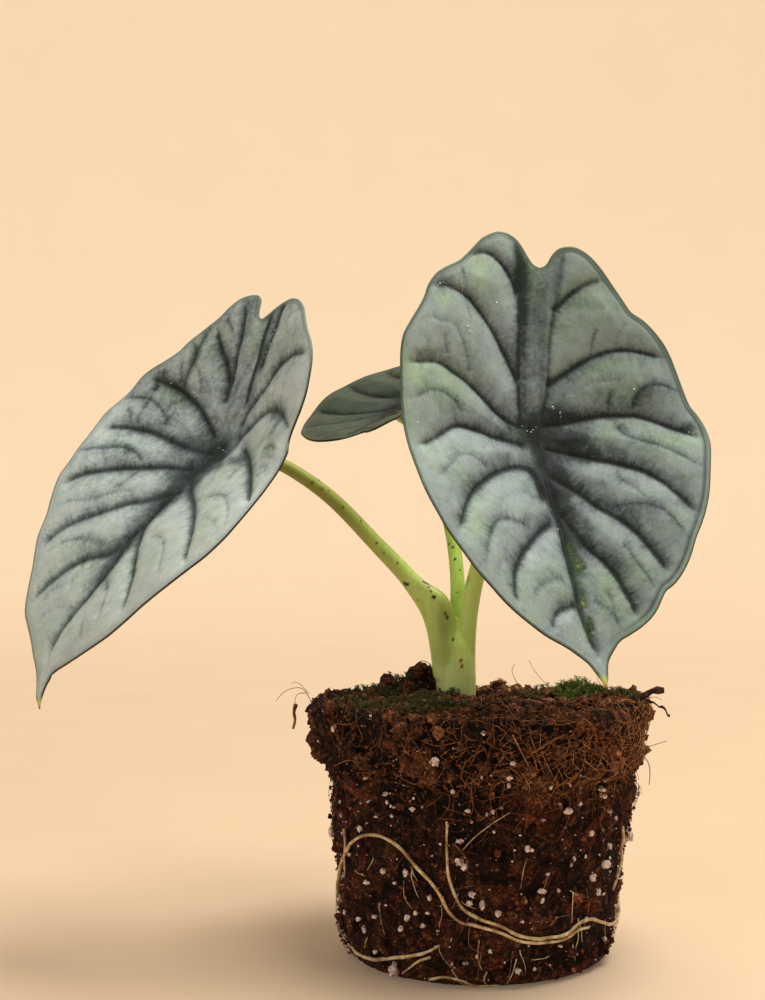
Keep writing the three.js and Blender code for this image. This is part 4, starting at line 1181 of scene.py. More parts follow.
leaves = {
    "right": {
        "attach": (12, -27, 143), "yaw": 22.5, "pitch": 21.5, "roll": 2.5, "fold": 0.22, "droop": 0.0007, "cup": 0.28,
        "grid": 192,
        # The outline in pixels, from the tip up the right side to the notch, and from there down the left side.
        "edge": [
            (606, 689), (608.3, 679), (608.2, 670), (609, 662), (612.4, 654), (620, 642), (629, 636), (641, 628),
            (651, 619), (658, 609), (662.4, 599), (666.6, 591), (675, 584), (684, 571.6), (691, 556), (696.4, 538),
            (701.6, 525), (706.4, 510), (709.6, 491.5), (710.8, 468), (711, 447), (709, 437), (705, 427),
            (698, 416), (690, 406), (685, 395), (679, 379), (674, 365), (670, 355), (664, 344), (654, 331),
            (644, 321), (636, 315.6), (630, 311), (622, 299), (614, 287), (606, 275), (600, 267), (592, 258),
            (584, 251.6), (576, 247.4), (568, 246.4), (560, 248), (555, 251.6), (550.6, 257), (548, 262),
            (544.5, 266), (539.5, 267.6)],
        "edgeBack": [
            (539.5, 267.6), (534, 265), (530, 260), (527, 255), (523, 248), (519, 242), (514, 237), (506.6, 233),
            (496.6, 231.6), (485, 236), (479, 240.5), (470, 250), (460, 259.5), (450, 264.5), (444, 267.5),
            (436, 273), (428.3, 284), (424.5, 295), (419.5, 305), (409.5, 321.7), (402.8, 335), (400.4, 352),
            (400.2, 372), (400.6, 398), (402.8, 422), (408.5, 446), (415.5, 466), (424, 487.4), (436, 510),
            (449, 531.7), (463.3, 552), (476, 569.5), (490.4, 586), (506, 603), (526, 621), (546, 636),
            (566, 647.6), (583, 659.6), (590, 666), (596, 674), (601.6, 682), (606, 689)],
        # Veins as the picture shows them, from the root out: how dark, how far they feather towards the notch in
        # millimetres (away from it if negative), and their pixels. The dark is the veins' own, and the one-sided
        # feather is partly painted shade on the slope turned from the light.
        "midrib": (1.0, 3.6, [
            (532, 430), (540, 456), (545.5, 474), (550, 491), (554.5, 506), (558, 517.5), (561.5, 531.5),
            (564.5, 546), (567, 557.5), (570, 569), (573, 580.5), (576.5, 595.5), (579.5, 607.5), (583, 621.5),
            (587, 632), (590.5, 640.5), (595, 649), (598.5, 657)]),
        "ribs": [
            (0.95, -3.0, [(521, 424), (518.5, 400), (518, 371), (518.3, 328), (518.2, 285), (517.3, 257),
                          (515, 240)]),
            (0.55, 1.2, [(541, 420), (547, 385), (547.5, 364), (549, 343), (551, 323), (553.5, 308), (557.5, 294),
                         (560.5, 281), (563, 268), (566.5, 253)])],
        "veins": [
            (0.85, 1.7, [(515.5, 293), (513.6, 284), (509, 274.5), (503.5, 266), (495, 257), (488, 252.5),
                         (480, 251.5), (472, 255)]),
            (0.9, 3.0, [(516, 380), (509, 364), (502, 349.5), (495, 335), (486.5, 321), (478, 309.5), (469, 298),
                        (460.5, 291), (452, 287), (442, 284), (435, 285)]),
            (0.9, 2.6, [(520, 428), (505, 420), (495, 412), (486.5, 402), (479, 393.5), (470.5, 385), (462, 378),
                        (452, 371), (442, 363.5), (431, 360.5), (421, 361), (411, 361.5)]),
            (0.95, 3.0, [(522, 446), (514, 443), (503, 440), (491.5, 436.5), (481.5, 432), (473, 429.5), (464, 427),
                         (457, 426), (450, 428), (444, 432), (437, 436.5), (428.5, 441.5), (420, 444.5)]),
            (1.0, 3.2, [(543, 498), (538.5, 486), (534, 476), (528.5, 470), (521.5, 468), (514, 468),
                        (505.5, 469.5), (496, 473.5), (487, 479.5), (478.5, 486), (471.5, 494.5), (466.5, 504.5),
                        (463, 517), (460.5, 528)]),
            (0.95, 2.2, [(549, 526), (543, 530), (535.5, 537.5), (528.5, 546), (521.5, 556), (517, 566), (515, 577),
                         (515, 588.5), (517.5, 601)]),
            (0.7, 1.3, [(574, 606), (567.5, 608), (561, 610.5), (556, 615), (553.5, 621.5), (553.5, 628)]),
            (0.9, -2.0, [(555, 310), (561.5, 303), (568.5, 296), (577, 289.5), (585.5, 284.5), (593, 281.5),
                         (601, 281)]),
            (1.0, -2.2, [(548, 385), (554, 381), (560, 377), (572, 369), (585, 361), (597, 355.5), (610, 351.5),
                         (622, 350), (635, 351), (648, 354), (661, 357.5)]),
            (0.95, 2.3, [(545, 427), (563, 424.5), (577, 421.5), (591.5, 418), (605.5, 416.5), (620, 416.5),
                         (634.5, 416), (645.5, 418.5), (655.5, 422), (667, 426.5), (677, 430), (688.5, 433.5),
                         (696, 437)]),
            (1.0, 3.2, [(546, 450), (560, 453), (580, 457), (597, 460.5), (611.5, 463), (625.5, 466.5), (640, 470),
                        (653, 476.5), (664.5, 483), (674.5, 491.5), (684.5, 500), (695.5, 511)]),
            (1.0, 2.9, [(551, 479), (560, 484), (571.5, 490), (583, 497), (594.5, 505.5), (605.5, 512),
                        (617, 518.5), (628.5, 525.5), (638.5, 534.5), (648.5, 545.5), (658.5, 558.5), (668, 571)]),
            (1.0, 2.7, [(560, 516), (568.5, 526), (577, 537), (587, 548.5), (598.5, 557), (608.5, 566), (617, 577),
                        (624.5, 590), (631.5, 603), (637, 615)])],
        "finer": [
            (0.8, -2.2, [(631.5, 412), (632, 403.5), (635.5, 395), (641.5, 389.5), (648.5, 386.5), (657, 386),
                         (667, 388), (676, 392)]),
            (0.65, 1.3, [(611.5, 420), (617, 430), (623, 436), (633, 440), (643, 443), (654.5, 446), (667, 451),
                         (679, 456.5), (689, 461.5), (700, 467)]),
            (0.6, -1.6, [(608.5, 509.5), (620, 506), (634.5, 504.5), (647, 506), (660, 510), (671.5, 518.5),
                         (680, 528.5), (687, 537)]),
            (0.4, 1.0, [(616, 467), (618.5, 478.5), (625.5, 484.5), (637, 491.5), (644.5, 500)]),
            (0.55, 1.0, [(617, 543), (625.5, 548.5), (631.5, 558.5), (638.5, 567), (647, 578.5), (654.5, 589)]),
            (0.35, 0.8, [(602.5, 589), (610, 601), (612.5, 612.5), (617.5, 625)]),
            (0.35, 0.8, [(590, 601), (602.5, 607.5), (611, 615), (619, 627)]),
            (0.3, 1.0, [(575, 308), (588.5, 309.5), (600, 310.5), (612, 310.5), (622, 312)]),
            (0.35, 1.2, [(567, 399), (580, 389.5), (591, 384), (605.5, 382), (620, 381)]),
            (0.6, 0.9, [(595, 329), (591.5, 340), (590, 354)]), (0.35, 0.8, [(625, 322), (616.5, 335), (615, 347)]),
            (0.3, 0.7, [(628, 334), (626, 348)]), (0.3, 0.7, [(633.5, 335), (632, 348)]),
            (0.4, 0.7, [(638.5, 335), (640.5, 344), (641, 352)]),
            (0.5, 0.8, [(609.5, 391), (606, 406)]), (0.35, 0.7, [(599, 394), (594, 405)]),
            (0.35, 0.8, [(617, 397), (620, 409)]),
            (0.5, 1.1, [(468, 377), (466.5, 362), (463.5, 351), (459.5, 339.5), (455, 329.5), (448, 323),
                        (438, 322), (430.5, 317.5), (419, 320)]),
            (0.45, 0.9, [(446, 356), (445.5, 349.5), (442, 334)]), (0.3, 0.7, [(429, 352), (426, 341), (419, 334)]),
            (0.3, 0.7, [(470, 330), (466, 305), (465, 288), (463, 266)]),
            (0.55, 1.2, [(462, 417), (458, 407.5), (450.5, 399.5), (442, 393.5), (433.5, 391), (426.5, 391.5),
                         (418, 396.5), (408, 398.5)]),
            (0.5, 1.2, [(489, 473), (484.5, 466.5), (477, 461), (470, 456.5), (463, 455), (457, 457), (450, 464.5),
                        (443, 471.5), (434.5, 479.5)]),
            (0.8, 1.5, [(532, 531), (528.5, 528.5), (521.5, 525), (513, 522), (504.5, 520), (497, 521.5),
                        (491.5, 526), (488.5, 536), (485.5, 550), (484.5, 565)]),
            (0.35, 1.0, [(538, 501), (528.5, 496.5), (521.5, 493.5), (513, 493.5), (505.5, 497), (500, 503),
                         (498.5, 512)]),
            (0.45, 1.2, [(566, 580), (555, 580.5), (547.5, 582.5), (540, 586), (535, 593), (534, 602)]),
            (0.3, 0.8, [(509, 560.5), (500, 562), (496, 573)])],
        # Dark patches, the leaf's own dark together with painted shade round the sunken heart: pixel, half length along
        # the blade and across it, how dark.
        "pigmentAndShade": [
            (540, 446, 9, 4.5, 0.95), (556, 420, 3, 7, 0.6), (562, 440, 4.5, 7, 0.85), (572, 457, 2.4, 11, 0.6),
            (549, 482, 12, 3.4, 0.9), (561, 517, 10, 2.5, 0.65), (567, 545, 6, 1.8, 0.6), (580, 537, 6, 3, 0.5),
            (522, 440, 4, 7, 0.4), (645, 507, 2.4, 7, 0.25), (612, 483, 1.6, 8, 0.2), (522, 300, 16, 2.2, 0.6),
            (442, 289, 3, 3, 0.2), (646, 395, 3, 3, 0.12), (619, 428, 2, 2.4, 0.15), (424, 355, 1.6, 4.5, 0.25),
            (643, 515, 3, 5, 0.25), (652, 547, 4, 3, 0.25), (690, 428, 2, 4, 0.3)],
        "channelWallShade": 0.42, "half": -1, "paler": -0.0012, "even": 0.06, "relief": 1.0,
        "green": [
            (420, 372, 5, 6, 0.8), (447, 377, 3, 4, 0.7), (482, 262, 4, 5, 0.6), (600, 372, 3, 8, 0.5),
            (529, 275, 9, 3.6, 0.9), (524, 436, 3, 4, 0.8), (480, 270, 9, 5, 0.5), (440, 300, 3, 3, 0.5),
            (425, 375, 4, 7, 0.55), (450, 390, 4, 6, 0.45), (410, 415, 9, 2, 0.4), (430, 455, 6, 3, 0.4),
            (600, 440, 3, 6, 0.4), (680, 445, 3, 7, 0.55), (600, 300, 6, 8, 0.4), (640, 560, 6, 8, 0.25),
            (612, 600, 9, 5, 0.35), (475, 520, 9, 4, 0.3), (520, 595, 8, 4, 0.35)],
        "fleck": [(579, 567, 2.2, 2.0, 1.5), (587, 621, 5.5, 1.3, 1.6), (580, 592, 5, 0.9, 1.2),
                  (570, 552, 5, 0.7, 1.0), (462, 271, 1.0, 0.5, 0.8)],
        "gold": [(583, 604, 0.45, 0.35, 0.9), (577, 567, 0.3, 0.25, 0.7), (576, 561, 0.25, 0.25, 0.45),
                 (582, 598, 0.2, 0.2, 0.5)],
        # Width, depth and valley of the rim: upper left and right, lower left and right. The valley's dark is partly
        # painted shade in its groove.
        "rim": [[(0.8, 0.9, 0.1), (0.8, 1.0, 0.5)], [(0.95, 0.6, 0.1), (1.1, 0.35, 0.8)]],
        "replaces": "leaf_right",
    },
    "left": {
        "attach": (-69, -8, 138), "yaw": -44.5, "pitch": 34.5, "roll": -17, "fold": 0.31, "droop": 0.0033, "cup": 0.25,
        "grid": 192, "tipBend": (79.5, 1.3),
        "edge": [
            (39, 709), (40.4, 702), (41.8, 696.6), (45, 688.2), (49.4, 679.6), (54, 672.4), (66.6, 664),
            (84, 652.4), (105, 638), (124.6, 621.6), (144.6, 603.6), (165, 587), (188, 569), (204.6, 556.6),
            (224.4, 538), (241, 519), (257.8, 498.6), (271.6, 480.6), (283, 462), (287.4, 452), (288.8, 442),
            (291.6, 432), (296, 420.6), (301, 408.6), (306, 393), (309, 378.6), (311.2, 365), (312, 352),
            (310.6, 339.4), (307.4, 327.6), (305.2, 316), (303.6, 306), (299, 299.4), (291.8, 298), (283.3, 301.8),
            (275, 308), (268, 314), (262.4, 318.4)],
        "edgeBack": [
            (262.4, 318.4), (260.2, 317.6), (259.4, 314), (260.2, 308), (261.4, 302), (261, 298), (258, 295),
            (250.6, 295), (240.4, 298.6), (230, 306.6), (220, 316.6), (211.6, 323.4), (201, 332), (189, 341.6),
            (178, 352), (165, 360.6), (151, 369), (141, 377.4), (131.6, 389.4), (118, 402), (106, 412), (96.4, 424),
            (88, 435.4), (78, 448), (68.4, 462), (58.4, 476), (51, 496.6), (46, 515), (37.8, 535), (34.6, 550),
            (32.2, 566.6), (28.8, 583.2), (25.6, 600), (24.6, 613), (27, 625), (30.4, 640), (33, 656.6),
            (35.8, 671.6), (36.4, 686.6), (36, 696.6), (37.4, 703), (39, 709)],
        "midrib": (1.0, -3.8, [
            (224, 449), (212, 461), (200, 470), (187, 481.5), (177, 492.5), (163, 507), (151.5, 518.5),
            (141.5, 528.5), (129, 540), (120, 554), (108, 573), (95, 588), (85, 601.5), (75, 612), (65, 625),
            (57, 638), (51.5, 648), (47, 658)]),
        "ribs": [
            (0.8, 1.3, [(234, 382), (236.5, 370), (238, 358.5), (240, 348.5), (243, 338.5), (245, 327),
                        (246.5, 314.5), (246, 303)]),
            (1.0, -1.7, [(247, 402), (250.5, 387), (253, 378.5), (255.5, 370), (258.5, 361.5), (261.5, 350),
                         (264, 340), (267.5, 328.5), (271.5, 316)])],
        "veins": [
            (0.85, 1.7, [(226, 400), (229.5, 384.5), (228.5, 373), (226.5, 363), (223, 353), (220, 343),
                         (216.5, 331.5)]),
            (0.9, 2.0, [(214, 437), (210, 427), (205.5, 418.5), (200, 408.5), (191.5, 400), (183, 391.5),
                        (173, 386), (163, 382), (152, 379.5)]),
            (0.95, 2.8, [(216, 456), (203, 453), (193, 450), (183, 447), (174.5, 443), (165.5, 438.5), (157, 434.5),
                         (148.5, 431.5), (138.5, 429.5), (128.5, 428), (117, 427.5), (106, 427)]),
            (0.9, 2.4, [(203, 469.5), (195.5, 469.5), (181.5, 469.5), (168.5, 467.5), (157, 467.5), (138.5, 468.5),
                        (124.5, 468.5), (110, 469.5), (98.5, 471.5), (85.5, 473.5), (74, 477.5), (66, 483)]),
            (0.85, 2.4, [(180, 493), (167, 497), (153, 500), (140, 502), (126.5, 504), (113, 509), (100, 513),
                         (86.5, 517), (75, 522), (63, 528), (53, 535), (44, 544)]),
            (0.85, 2.4, [(127, 546), (118, 550), (106.5, 555), (93, 557.5), (81.5, 561), (70, 567), (61.5, 573),
                         (53, 580), (43, 588.5), (34, 598)]),
            (0.9, 1.6, [(245, 452), (248.5, 460), (249.5, 469), (250, 480), (249.5, 490), (248, 502)]),
            (0.9, 1.8, [(189, 480), (190, 487), (191.5, 497), (193.5, 508.5), (193.5, 520), (191.5, 531.5),
                        (188.5, 543), (185.5, 554.5), (184.5, 562)]),
            (0.85, 1.6, [(143, 530), (140, 540), (136.5, 551.5), (134.5, 563), (133, 574.5), (130, 585.5),
                         (126.5, 597.5), (121.5, 610)]),
            (0.75, 1.1, [(262, 366), (265.5, 354.5), (269.5, 344.5), (273, 334.5), (277, 324.5), (280, 314.5),
                         (284.5, 302)]),
            (0.65, 1.6, [(243, 424), (248.5, 411.5), (255.5, 401.5), (264.5, 390), (270, 381.5), (275.5, 372),
                         (281.5, 364.5), (288.5, 358), (297, 353.5), (306, 352)]),
            (0.62, 1.6, [(240, 440), (248.5, 430), (255.5, 423), (263, 415.5), (270, 411), (277, 411), (282, 414.5),
                         (285.5, 422), (288.5, 427)])],
        "finer": [
            (0.5, 0.7, [(254, 319), (256.5, 313), (258, 304)]), (0.45, 0.8, [(227, 320), (233, 327), (234.5, 336)]),
            (0.5, 0.8, [(200.5, 352), (205.5, 338.5), (212, 325)]),
            (0.6, 0.8, [(183, 391), (187, 381.5), (191.5, 370), (198, 360), (198.5, 353), (195, 344)]),
            (0.35, 0.8, [(200.5, 397), (202, 384.5), (200.5, 369)]), (0.45, 0.7, [(163, 380), (165, 369)]),
            (0.4, 0.8, [(182, 385), (183.5, 371.5), (184.5, 360)]), (0.7, 0.8, [(158.5, 384), (155, 391.5)]),
            (0.65, 1.2, [(165.5, 431), (168, 421.5), (165, 413), (158.5, 405.5), (151.5, 400.5), (141.5, 399),
                         (129, 398.5)]),
            (0.5, 0.8, [(138.5, 425), (140, 418.5), (145.5, 410), (151.5, 401.5)]),
            (0.45, 0.8, [(132, 425), (131.5, 415.5), (130, 408)]),
            (0.35, 0.8, [(185, 400), (175.5, 404.5), (169, 410)]),
            (0.4, 0.8, [(179, 411), (173, 417), (169.5, 424)]),
            (0.6, 1.3, [(143, 465), (141.5, 458.5), (137, 453), (130, 450), (121.5, 448.5), (110, 449.5),
                        (95.5, 449.5), (80, 450)]),
            (0.3, 0.7, [(108, 466), (105, 455)]), (0.5, 1.2, [(141, 469), (134.5, 475.5), (127, 483), (117, 488)]),
            (0.55, 1.3, [(109, 548), (103, 544), (93, 541), (81.5, 540), (68, 542), (57, 549)]),
            (0.35, 1.3, [(139, 493), (125, 491.5), (110, 495), (95, 500), (75, 502), (59, 506)]),
            (0.4, 1.2, [(79, 584), (65, 586.5), (53, 591.5), (44, 601)]),
            (0.45, 1.4, [(76, 611), (68, 608), (58, 608.5), (48, 613), (41, 621)]),
            (0.55, 1.2, [(105, 576), (107, 583), (109, 593), (105, 606.5), (100, 620), (96.5, 628)]),
            (0.5, 1.0, [(84, 622), (84, 633), (83, 642)]),
            (0.5, 1.0, [(203, 501.5), (213, 498), (222, 496.5), (227, 499), (229.5, 507), (229.5, 517),
                        (226.5, 527)]),
            (0.35, 0.9, [(205, 519), (213, 521.5), (218.5, 528.5), (217, 538)]),
            (0.5, 1.0, [(148, 541), (151.5, 538.5), (161.5, 538), (166, 543), (164.5, 554.5), (162, 565.5),
                        (160.5, 578)]),
            (0.3, 0.7, [(238.5, 468), (234.5, 474.5), (230, 483)]),
            (0.4, 0.5, [(260, 471), (265, 467.5), (270, 469)]),
            (0.35, 0.5, [(259, 462), (264, 458), (270, 458), (276, 461)]),
            (0.35, 0.5, [(256, 479), (262, 474), (268, 473)]),
            (0.4, 0.6, [(263, 453), (268, 449.5), (273, 448), (278, 452)])],
        # Dark patches, the leaf's own dark together with painted shade round the heart, as for the right blade.
        "pigmentAndShade": [
            (214, 459, 5, 7, 0.85), (196, 473, 7, 6, 0.75), (172, 496, 10, 4, 0.55), (145, 523, 12, 3.2, 0.45),
            (118, 556, 12, 2, 0.4), (205, 449, 3, 8, 0.45), (236, 462, 2, 5, 0.5), (277, 413, 3, 4, 0.35),
            (278, 425, 4, 1.5, 0.4), (196, 360, 3, 1.5, 0.3), (156, 389, 1.2, 1.2, 0.5), (262, 335, 12, 1.8, 0.4),
            (190, 450, 2, 9, 0.3), (180, 487, 5, 3, 0.3), (131, 450, 1.5, 2, 0.3)],
        "channelWallShade": 0.12, "half": 0, "paler": 0.0032, "even": 0.85, "relief": 0.68, "brownShift": (-0.35, 0.6),
        "green": [
            (262, 325, 8, 3, 0.6), (272, 450, 2, 3, 0.9), (205, 340, 6, 4, 0.6), (175, 400, 4, 6, 0.5),
            (60, 560, 9, 12, 0.3), (225, 480, 8, 8, 0.35), (205, 530, 9, 8, 0.35), (155, 560, 8, 9, 0.4),
            (60, 630, 9, 6, 0.35)],
        "fleck": [(272, 449, 1.0, 1.6, 0.8), (276, 453, 0.8, 1, 0.6), (198, 358, 1.6, 0.6, 0.5)],
        "rim": [[(0.8, 0.8, 0.2), (0.8, 0.6, 0.1)], [(0.9, 0.5, 0.2), (1.1, 0.1, 0.25)]],
        "replaces": "leaf_left",
    },
    "back": {
        "attach": (-21.5, 33, 148.4), "yaw": -56, "pitch": 63, "roll": 214, "fold": 0.2, "droop": 0.0042, "cup": 0.2,
        "grid": 112,
        "margin": [
            (0, 51), (3, 44.5), (10, 41), (20, 38), (32, 35), (48, 32), (65, 30), (90, 28), (110, 27.5), (130, 29),
            (148, 31.5), (160, 33.5), (170, 32.5), (176, 29.5), (180, 27.5)],
        "marginBack": [
            (180, 27.5), (185, 30.5), (192, 33.5), (203, 32.5), (216, 30), (235, 28), (255, 27.5), (275, 28.5),
            (297, 30.5), (316, 33.5), (331, 37), (344, 40), (353, 42.5), (357, 45), (360, 51)],
        # Mostly hidden, so its veins are laid out: start ahead and to the side, angle at the margin, bow.
        "laid": [
            (-8, -2, 212, -0.14), (0, 0, 247, -0.12), (2, 0, 281, -0.12), (9, 0, 315, -0.12), (21, 0, 339, -0.14),
            (-8, 2, 148, 0.14), (0, 0, 113, 0.12), (2, 0, 79, 0.12), (9, 0, 45, 0.12), (21, 0, 21, 0.14)],
        "laidRibs": [(0, 0, 188, -0.03), (0, 0, 172, 0.03)],
        "channelWallShade": 0.1, "half": 0, "paler": 0, "even": 0.4, "relief": 1.0,
        "rim": [[(0.8, 0.5, 0.15)] * 2] * 2,
        "replaces": "leaf_back",
    },
}


def leafAxes(leaf):  # towards the tip, to the side, and the way the upper face looks
    yaw, pitch, roll = (math.radians(leaf[key]) for key in ("yaw", "pitch", "roll"))
    up = np.array([math.sin(yaw) * math.cos(pitch), -math.cos(yaw) * math.cos(pitch), math.sin(pitch)])
    down = np.array([0, 0, -1.0])
    ahead = down - up * down.dot(up)
    ahead /= np.linalg.norm(ahead)
    ahead = ahead * math.cos(roll) + np.cross(up, ahead) * math.sin(roll)
    return ahead, np.cross(up, ahead), up


def marginLine(p, count):
    p = np.vstack([p[:1], p, p[-1:]])
    t = np.linspace(0, 1, 30, endpoint=False)[:, None]
    line = []
    for a, b, c, d in zip(p, p[1:], p[2:], p[3:]):
        out, back = (c - a) / 2, (d - b) / 2
        line.append(cubic(b, c, out, back, t))
    return evenSteps(np.vstack(line + [p[-1:]]), count)


def outlineOf(leaf, half):  # the two sides of the margin, each in as many even steps
    if "edge" in leaf:
        sides = [onBlade(leaf, leaf[key]) for key in ("edge", "edgeBack")]
    else:
        polar = [np.array(leaf[key], float) for key in ("margin", "marginBack")]
        sides = [p[:, 1:] * columns(np.cos(np.radians(p[:, 0])), np.sin(np.radians(p[:, 0]))) for p in polar]
    return np.vstack([marginLine(sides[0], half)[:-1], marginLine(sides[1], half)])


def tipShift(leaf, u):  # how far the drip tip hooks to the side
    start, slope = leaf.get("tipBend", (0, 0))
    return slope * (np.sqrt((u - start) ** 2 + 4) + u - start) / 2


def laidVein(rim, u, v, degrees, bow):
    aim = np.array([math.cos(math.radians(degrees)), math.sin(math.radians(degrees))])
    nearest = rim[np.argmax((rim / np.linalg.norm(rim, axis=1, keepdims=True)) @ aim)]
    start, end = np.array([u, v], float), nearest * 0.93
    chord = end - start
    bend = (start + end) / 2 + np.array([-chord[1], chord[0]]) * 2 * bow
    t = np.linspace(0, 1, 17)[:, None]
    return (1 - t) ** 2 * start + 2 * t * (1 - t) * bend + t**2 * end


def bent(leaf, u, v):  # how the whole blade folds, droops and cups
    folded, cupped = (np.sqrt(a * a + 36) - 6 for a in (u, v))
    return leaf["fold"] * folded - leaf["droop"] * np.maximum(0, u) ** 2 + leaf["cup"] * cupped


def onBlade(leaf, pixels):  # where pixels of the picture fall on a blade: ahead and to the side
    ahead, across, up = leafAxes(leaf)
    at = np.array(leaf["attach"])
    found = []
    for px, py in pixels:
        start, line = sightLine(px, py)
        lift = 0.0
        for _ in range(20):
            where = start + line * ((at + (lift + 0.4) * up - start) @ up) / (line @ up)
            u, v = (where - at) @ ahead, (where - at) @ across
            lift = 0.4 * lift + 0.6 * float(bent(leaf, u, v))
        found.append((u, v))
    return np.array(found)


def footOn(points, line):  # distance to a line, how far along it, its length, and the side from -1 to 1
    a, step = line[:-1], np.diff(line, axis=0)
    long = np.linalg.norm(step, axis=1)
    far = np.concatenate([[0], np.cumsum(long)])
    away, along, side = np.empty(len(points)), np.empty(len(points)), np.zeros(len(points))
    for first in range(0, len(points), 6000):  # a few at a time, to spare memory
        part = slice(first, first + 6000)
        some = points[part]
        rel = some[:, None, :] - a[None]
        t = np.clip((rel * step).sum(-1) / long**2, 0, 1)
        rel = rel - step * t[..., None]
        gap = np.linalg.norm(rel, axis=2)
        k = np.argmin(gap, axis=1)
        n = np.arange(len(some))
        away[part] = gap[n, k]
        along[part] = far[k] + t[n, k] * long[k]
        if points.shape[1] == 2:
            turn = step[k, 0] * rel[n, k, 1] - step[k, 1] * rel[n, k, 0]
            side[part] = turn / (long[k] * np.maximum(gap[n, k], 1e-6))
    return away, along, far[-1], side


def nearLine(points, line):
    return footOn(points, line)[0]


def veinsOf(leaf, rim):  # midrib, ribs, veins and finer ones: kind, darkness, feather, line
    if "laid" in leaf:
        found = [("midrib", 0.9, 2.0, np.linspace((0, 0), rim[0] * 0.95, 17))]
        found += [("rib", 0.7, 1.2, laidVein(rim, *vein)) for vein in leaf["laidRibs"]]
        return found + [("vein", 0.85, 2.0, laidVein(rim, *vein)) for vein in leaf["laid"]]
    listed = [("midrib", *leaf["midrib"])] + [("rib", *rib) for rib in leaf["ribs"]]
    listed += [("vein", *vein) for vein in leaf["veins"]] + [("fine", *vein) for vein in leaf["finer"]]
    return [(kind, dark, feather, smoothPath(onBlade(leaf, pixels), 1.6)) for kind, dark, feather, pixels in listed]


bladeLook = {
    "thick": 0.44, "lift": 0.425, "pillow": 0.5, "quilt": 1.05, "groove": 0.34, "grooveHalf": 0.6, "fineDepth": 0.3,
    "rimRoll": 0.07, "comb": 0.025,
}


